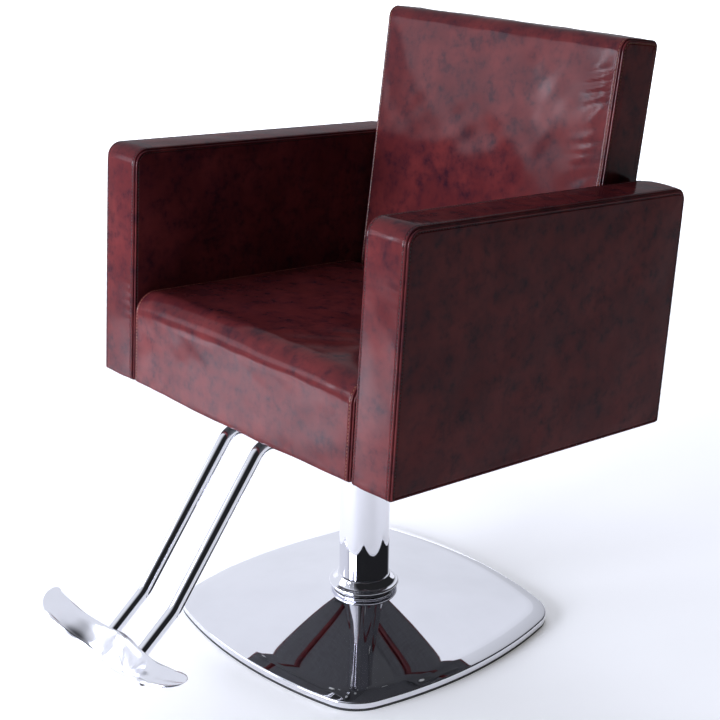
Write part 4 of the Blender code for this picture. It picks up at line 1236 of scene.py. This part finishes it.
# --- footrest -------------------------------------------------------------------------------------
@dataclass
class Footrest:
    """Two bent tubes and a cast winged plate."""

    axes: SeatAxes = field(default_factory=SeatAxes)
    tube_radius: float = 0.0095
    tube_x: float = 0.0375
    tube_drop: float = 0.0176
    run_end: float = -0.098
    knee: tuple[float, float] = (-0.3955, 0.162)
    end: tuple[float, float] = (-0.4580, 0.1115)
    slope: float = 1.322
    fillets: tuple[float, float] = (0.030, 0.070)
    reach: float = 0.170
    stations: tuple[float, ...] = (0.0, 0.03, 0.06, 0.09, 0.12, 0.145)
    front_edge: tuple[tuple[float, float], ...] = (
        (-0.4765, 0.078), (-0.480, 0.085), (-0.490, 0.099), (-0.505, 0.117), (-0.510, 0.128), (-0.503, 0.131),
    )
    rear_edge: tuple[tuple[float, float], ...] = (
        (-0.457, 0.130), (-0.458, 0.127), (-0.461, 0.127), (-0.466, 0.131), (-0.469, 0.138), (-0.469, 0.142),
    )
    sweep: tuple[float, float] = (0.50, 0.05)
    thickness: tuple[float, float] = (0.0024, 0.0040)
    hub_thickness: tuple[float, float] = (0.0022, 0.0120)
    hub_reach: float = 0.050
    dish_depth: float = 0.0022
    lip_height: float = 0.0012
    spine_height: float = 0.0046
    spine_softness: float = 0.0024
    plate_finish: ChromeFinish = ChromeFinish("satin_chrome", (0.80, 0.80, 0.84), 0.16)

    def path(self) -> np.ndarray:
        """Return the tubes' centreline.

        Returns:
            Its (y, z) points, with rounded bends.
        """
        seat = self.axes.seat()
        start = (seat @ Vector((0, self.run_end, -self.tube_drop))).yz
        ahead = (seat @ Vector((0, self.run_end - 1, -self.tube_drop))).yz - start
        knee = Vector(self.knee)
        slope = Vector((1.0, self.slope))
        offset = knee - start
        travel = (offset.x * slope.y - offset.y * slope.x) / (ahead.x * slope.y - ahead.y * slope.x)
        corners = [start, start + ahead * travel, knee, Vector(self.end)]
        points = [corners[0]]
        for before, here, after, radius in zip(corners, corners[1:], corners[2:], self.fillets):
            back = (before - here).normalized()
            onward = (after - here).normalized()
            half = back.angle(onward) / 2
            centre = here + (back + onward).normalized() * radius / math.sin(half)
            first = here + back * radius / math.tan(half) - centre
            last = here + onward * radius / math.tan(half) - centre
            sweep = first.angle_signed(last)
            points += [centre + Matrix.Rotation(-sweep * k / 14, 2) @ first for k in range(15)]
        return np.array([*points, corners[-1]])

    def tube(self, name: str, x: float) -> bpy.types.Mesh:
        """Bend one tube.

        Args:
            name: The mesh's name.
            x: How far it lies from the middle.

        Returns:
            The mesh.
        """
        path = self.path()
        tangent = np.gradient(path, axis=0)
        tangent /= np.linalg.norm(tangent, axis=1)[:, None]
        turn = np.arange(40) * TAU / 40
        rings = []
        for (y, z), (ty, tz) in zip(path, tangent):
            side = self.tube_radius * np.cos(turn)
            out = self.tube_radius * np.sin(turn)
            rings.append(np.stack([x + side, y - out * tz, z + out * ty], axis=1))
        return mesh_from(name, rings, closed=False)

    def _table(self, points: Sequence[tuple[float, float]], x: float) -> np.ndarray:
        """Return a point on a smooth curve through a table's points.

        Args:
            points: The curve's (y, z) points, one at each station.
            x: Where it is read.

        Returns:
            The (y, z) point.
        """
        stations = self.stations
        values = np.array(points)
        last = len(stations) - 1
        slopes = np.zeros_like(values)
        for i in range(1, last + 1):
            after = min(i + 1, last)
            slopes[i] = (values[after] - values[i - 1]) / (stations[after] - stations[i - 1])
        i = max(k for k in range(last) if stations[k] <= x)
        step = stations[i + 1] - stations[i]
        t = (x - stations[i]) / step
        rise = t * t * (3 - 2 * t)
        leave = slopes[i] * step * t * (1 - t) ** 2
        arrive = slopes[i + 1] * step * t * t * (1 - t)
        return values[i] * (1 - rise) + values[i + 1] * rise + leave - arrive

    def chord(self, x: float) -> tuple[np.ndarray, np.ndarray]:
        """Return the plate's edges at a distance from the middle.

        Args:
            x: The distance.

        Returns:
            The front and rear edges as (y, z).
        """
        inside = min(x, self.stations[-1])
        sweep = np.array(self.sweep) * (x - inside)
        return self._table(self.front_edge, inside) + sweep, self._table(self.rear_edge, inside) + sweep

    def section(self, x: float, blend: float) -> np.ndarray:
        """Return the plate's section at x.

        Args:
            x: Where the section is.
            blend: Shrinks the section towards its middle below 1.

        Returns:
            A closed ring of points.
        """
        front, rear = self.chord(abs(x))
        middle = (front + rear) / 2
        chord = rear - front
        length = np.linalg.norm(chord)
        face = np.array([-chord[1], chord[0]]) / length
        hub = math.exp(-((abs(x) / self.hub_reach) ** 4))
        turn = np.arange(72) * TAU / 72
        along = np.cos(turn)
        rise = np.sin(turn)
        ahead, behind = (wing + boss * hub for wing, boss in zip(self.thickness, self.hub_thickness))
        depth = np.where(rise >= 0, ahead, behind) * np.sign(rise) * np.abs(rise) ** 0.75
        fore = np.clip(rise * 4, 0.0, 1.0)
        dish = -self.dish_depth * (1 - hub) * np.exp(-(((along - 0.10) / 0.50) ** 2))
        lip = self.lip_height * np.exp(-(((along + 0.84) / 0.09) ** 2))
        spread = 0.013 + 0.020 * np.clip(-along, -0.3, 1.0)
        spine = self.spine_height / (1 + np.exp((abs(x) - spread) / self.spine_softness))
        spine *= np.clip(0.55 + 0.45 * along, 0.0, 1.0)
        offset = along[:, None] * chord / 2 + (depth + fore * (dish + lip + spine))[:, None] * face
        point = middle + offset * blend
        return np.c_[np.full(len(point), x), point]

    def plate(self) -> bpy.types.Mesh:
        """Cast the plate.

        Returns:
            Its mesh, with round-ended wings and a raised spine.
        """
        inner = np.linspace(0.0, 0.045, 46)
        outer = np.linspace(0.045, self.stations[-1], 45)[1:]
        half = [(float(x), 1.0) for x in (*inner[1:], *outer)]
        ahead = self.reach - self.stations[-1]
        for k in range(1, 12):
            turn = math.radians(8 * k)
            half.append((self.stations[-1] + ahead * math.sin(turn), math.cos(turn)))
        stations = [(-x, blend) for x, blend in reversed(half)] + [(0.0, 1.0)] + half
        rings = [self.section(x, blend) for x, blend in stations]
        return mesh_from("footrest_wing", rings, closed=False, sharp=60.0)

    def build(self, shop: Workshop) -> None:
        """Build the footrest.

        Args:
            shop: Fits the pieces.
        """
        for label, side in (("left", -1), ("right", 1)):
            mesh = self.tube(f"foot_tube_{label}", side * self.tube_x)
            shop.fit(f"foot_tube_{label}", mesh, Slot.CHROME, "seat", [f"footrest_tube_{label}"])
        satin = self.plate_finish.material()
        shop.fit("footrest_wing", self.plate(), Slot.CHROME, "seat", ["footrest_plate"], satin)


# --- studio ---------------------------------------------------------------------------------------
@dataclass(frozen=True)
class SoftLight:
    """One rectangular soft light."""

    name: str
    place: tuple[float, float, float]
    aim: tuple[float, float, float]
    size: tuple[float, float]
    power: float
    spread: float
    mirrored: bool = True

    def hang(self, colour: tuple[float, float, float]) -> None:
        """Hang the light.

        Args:
            colour: The light's colour.
        """
        data = bpy.data.lights.new(self.name, "AREA")
        data.shape = "RECTANGLE"
        data.size, data.size_y = self.size
        data.energy = self.power
        data.color = colour
        data.spread = math.radians(self.spread)
        light = bpy.data.objects.new(self.name, data)
        light.location = self.place
        light.rotation_euler = (Vector(self.aim) - Vector(self.place)).to_track_quat("-Z", "Y").to_euler()
        light.visible_glossy = self.mirrored
        bpy.context.scene.collection.objects.link(light)


@dataclass
class Studio:
    """Pale floor, soft lights and the camera."""

    place: tuple[float, float, float] = (1.62269, -1.47999, 1.22831)
    right: tuple[float, float, float] = (0.66737, 0.74465, 0.01101)
    up: tuple[float, float, float] = (-0.25980, 0.21893, 0.94052)
    back: tuple[float, float, float] = (0.69794, -0.63053, 0.33957)
    lens: float = 76.09
    sensor: float = 36.0
    floor_size: float = 40.0
    far_way: tuple[float, float, float] = (-0.74, 0.67, 0.0)
    light_colour: tuple[float, float, float] = (0.92, 0.96, 1.10)
    panels: tuple[SoftLight, ...] = (
        SoftLight("key_front", (-0.3, -3.3, 1.0), (-0.1, 0.0, 0.6), (1.8, 1.2), 46.0, 90.0),
        SoftLight("back_left", (-3.8, 3.6, 4.0), (-3.2, 3.0, 0.0), (4.5, 4.5), 140.0, 100.0, mirrored=False),
        SoftLight("front_floor", (-1.3, -1.6, 1.4), (-1.1, -1.4, 0.0), (0.9, 0.9), 34.0, 60.0),
        SoftLight("sheen", (-2.3, -2.35, 1.25), (0.0, 0.2, 0.85), (1.5, 0.9), 6.0, 120.0),
        SoftLight("window", (-1.40, -2.10, 1.22), (0.2, 0.2, 0.85), (0.12, 0.50), 1.6, 120.0),
    )
    bright_side: tuple[float, float, float] = (-0.86, -0.05, 0.50)
    world_levels: tuple[float, float, float, float] = (0.05, 0.75, 0.02, 1.00)
    world_colour: tuple[float, float, float, float] = (0.88, 0.91, 1.0, 1.0)

    def camera(self) -> None:
        """Set up the camera."""
        data = bpy.data.cameras.new("camera")
        data.lens = self.lens
        data.sensor_width = self.sensor
        camera = bpy.data.objects.new("camera", data)
        axes = Matrix((self.right, self.up, self.back)).transposed().to_4x4()
        camera.matrix_world = Matrix.Translation(self.place) @ axes
        bpy.context.scene.collection.objects.link(camera)
        bpy.context.scene.camera = camera

    def lights(self) -> None:
        """Hang the lights and set the surrounding brightness, bright on the left and dim on the right."""
        world = bpy.data.worlds.new("studio")
        world.use_nodes = True
        tree = world.node_tree
        shade = tree.nodes["Background"]
        way = tree.nodes.new("ShaderNodeTexCoord")
        side = tree.nodes.new("ShaderNodeVectorMath")
        side.operation = "DOT_PRODUCT"
        side.inputs[1].default_value = self.bright_side
        level = tree.nodes.new("ShaderNodeMapRange")
        level.interpolation_type = "SMOOTHSTEP"
        for key, value in zip(("From Min", "From Max", "To Min", "To Max"), self.world_levels):
            level.inputs[key].default_value = value
        tree.links.new(way.outputs["Generated"], side.inputs[0])
        tree.links.new(side.outputs["Value"], level.inputs["Value"])
        tree.links.new(level.outputs[0], shade.inputs["Strength"])
        shade.inputs["Color"].default_value = self.world_colour
        bpy.context.scene.world = world
        bpy.context.scene.view_settings.view_transform = "Standard"
        for panel in self.panels:
            panel.hang(self.light_colour)

    def floor(self) -> None:
        """Lay the pale floor, which glows a little more further behind the chair."""
        graph = Graph("pale_floor")
        tone = graph.noise(3.0, 2.0)
        colour = graph.tint(tone, (0.88, 0.88, 0.89), (0.90, 0.90, 0.91))
        way = {"operation": "DOT_PRODUCT"}
        ahead = graph.make("ShaderNodeVectorMath", way, {0: graph.place, 1: self.far_way}).outputs["Value"]
        # painted light: the floor's emission rises from 0.20 near the chair to 0.80 far behind it, so the
        # backdrop glows brighter there and glows onto the chair
        glow = graph.tint(Value(graph, ahead).ramp(1.5, 6.5), (0.20, 0.20, 0.20), (0.80, 0.80, 0.81))
        material = graph.surface({
            "Base Color": colour,
            "Roughness": 0.75,
            "Specular IOR Level": 0.2,
            "Emission Color": glow,
            "Emission Strength": 1.0,
        })
        mesh = bpy.data.meshes.new("floor")
        reach = self.floor_size / 2
        corners = [(-reach, -reach), (reach, -reach), (reach, reach), (-reach, reach)]
        mesh.from_pydata([(x, y, -0.0002) for x, y in corners], [], [(0, 1, 2, 3)])
        mesh.materials.append(material)
        floor = bpy.data.objects.new("floor", mesh)
        bpy.context.scene.collection.objects.link(floor)

    def build(self) -> None:
        """Set the whole studio."""
        self.camera()
        self.lights()
        self.floor()


def dress_frame(shop: Workshop) -> None:
    """Give every CAD node its slot's finish.

    Args:
        shop: Holds the materials.
    """
    slots = {slot.label: slot for slot in Slot}
    for part in frame["record"]["subparts"]:
        node = frame["nodes"][part["node"]]
        node.data.materials.clear()
        node.data.materials.append(shop.finish(slots[part["material_slot"]]))


def main() -> None:
    """Build the chair's looks in order."""
    logging.basicConfig(level=logging.INFO, format="%(message)s")
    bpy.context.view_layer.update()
    Studio().build()
    shop = Workshop()
    dress_frame(shop)
    stitches = StitchTree()
    Upholstery().build(shop, stitches)
    PressedBase().build(shop)
    Column().build(shop)
    Footrest().build(shop)


if __name__ == "__main__":
    main()
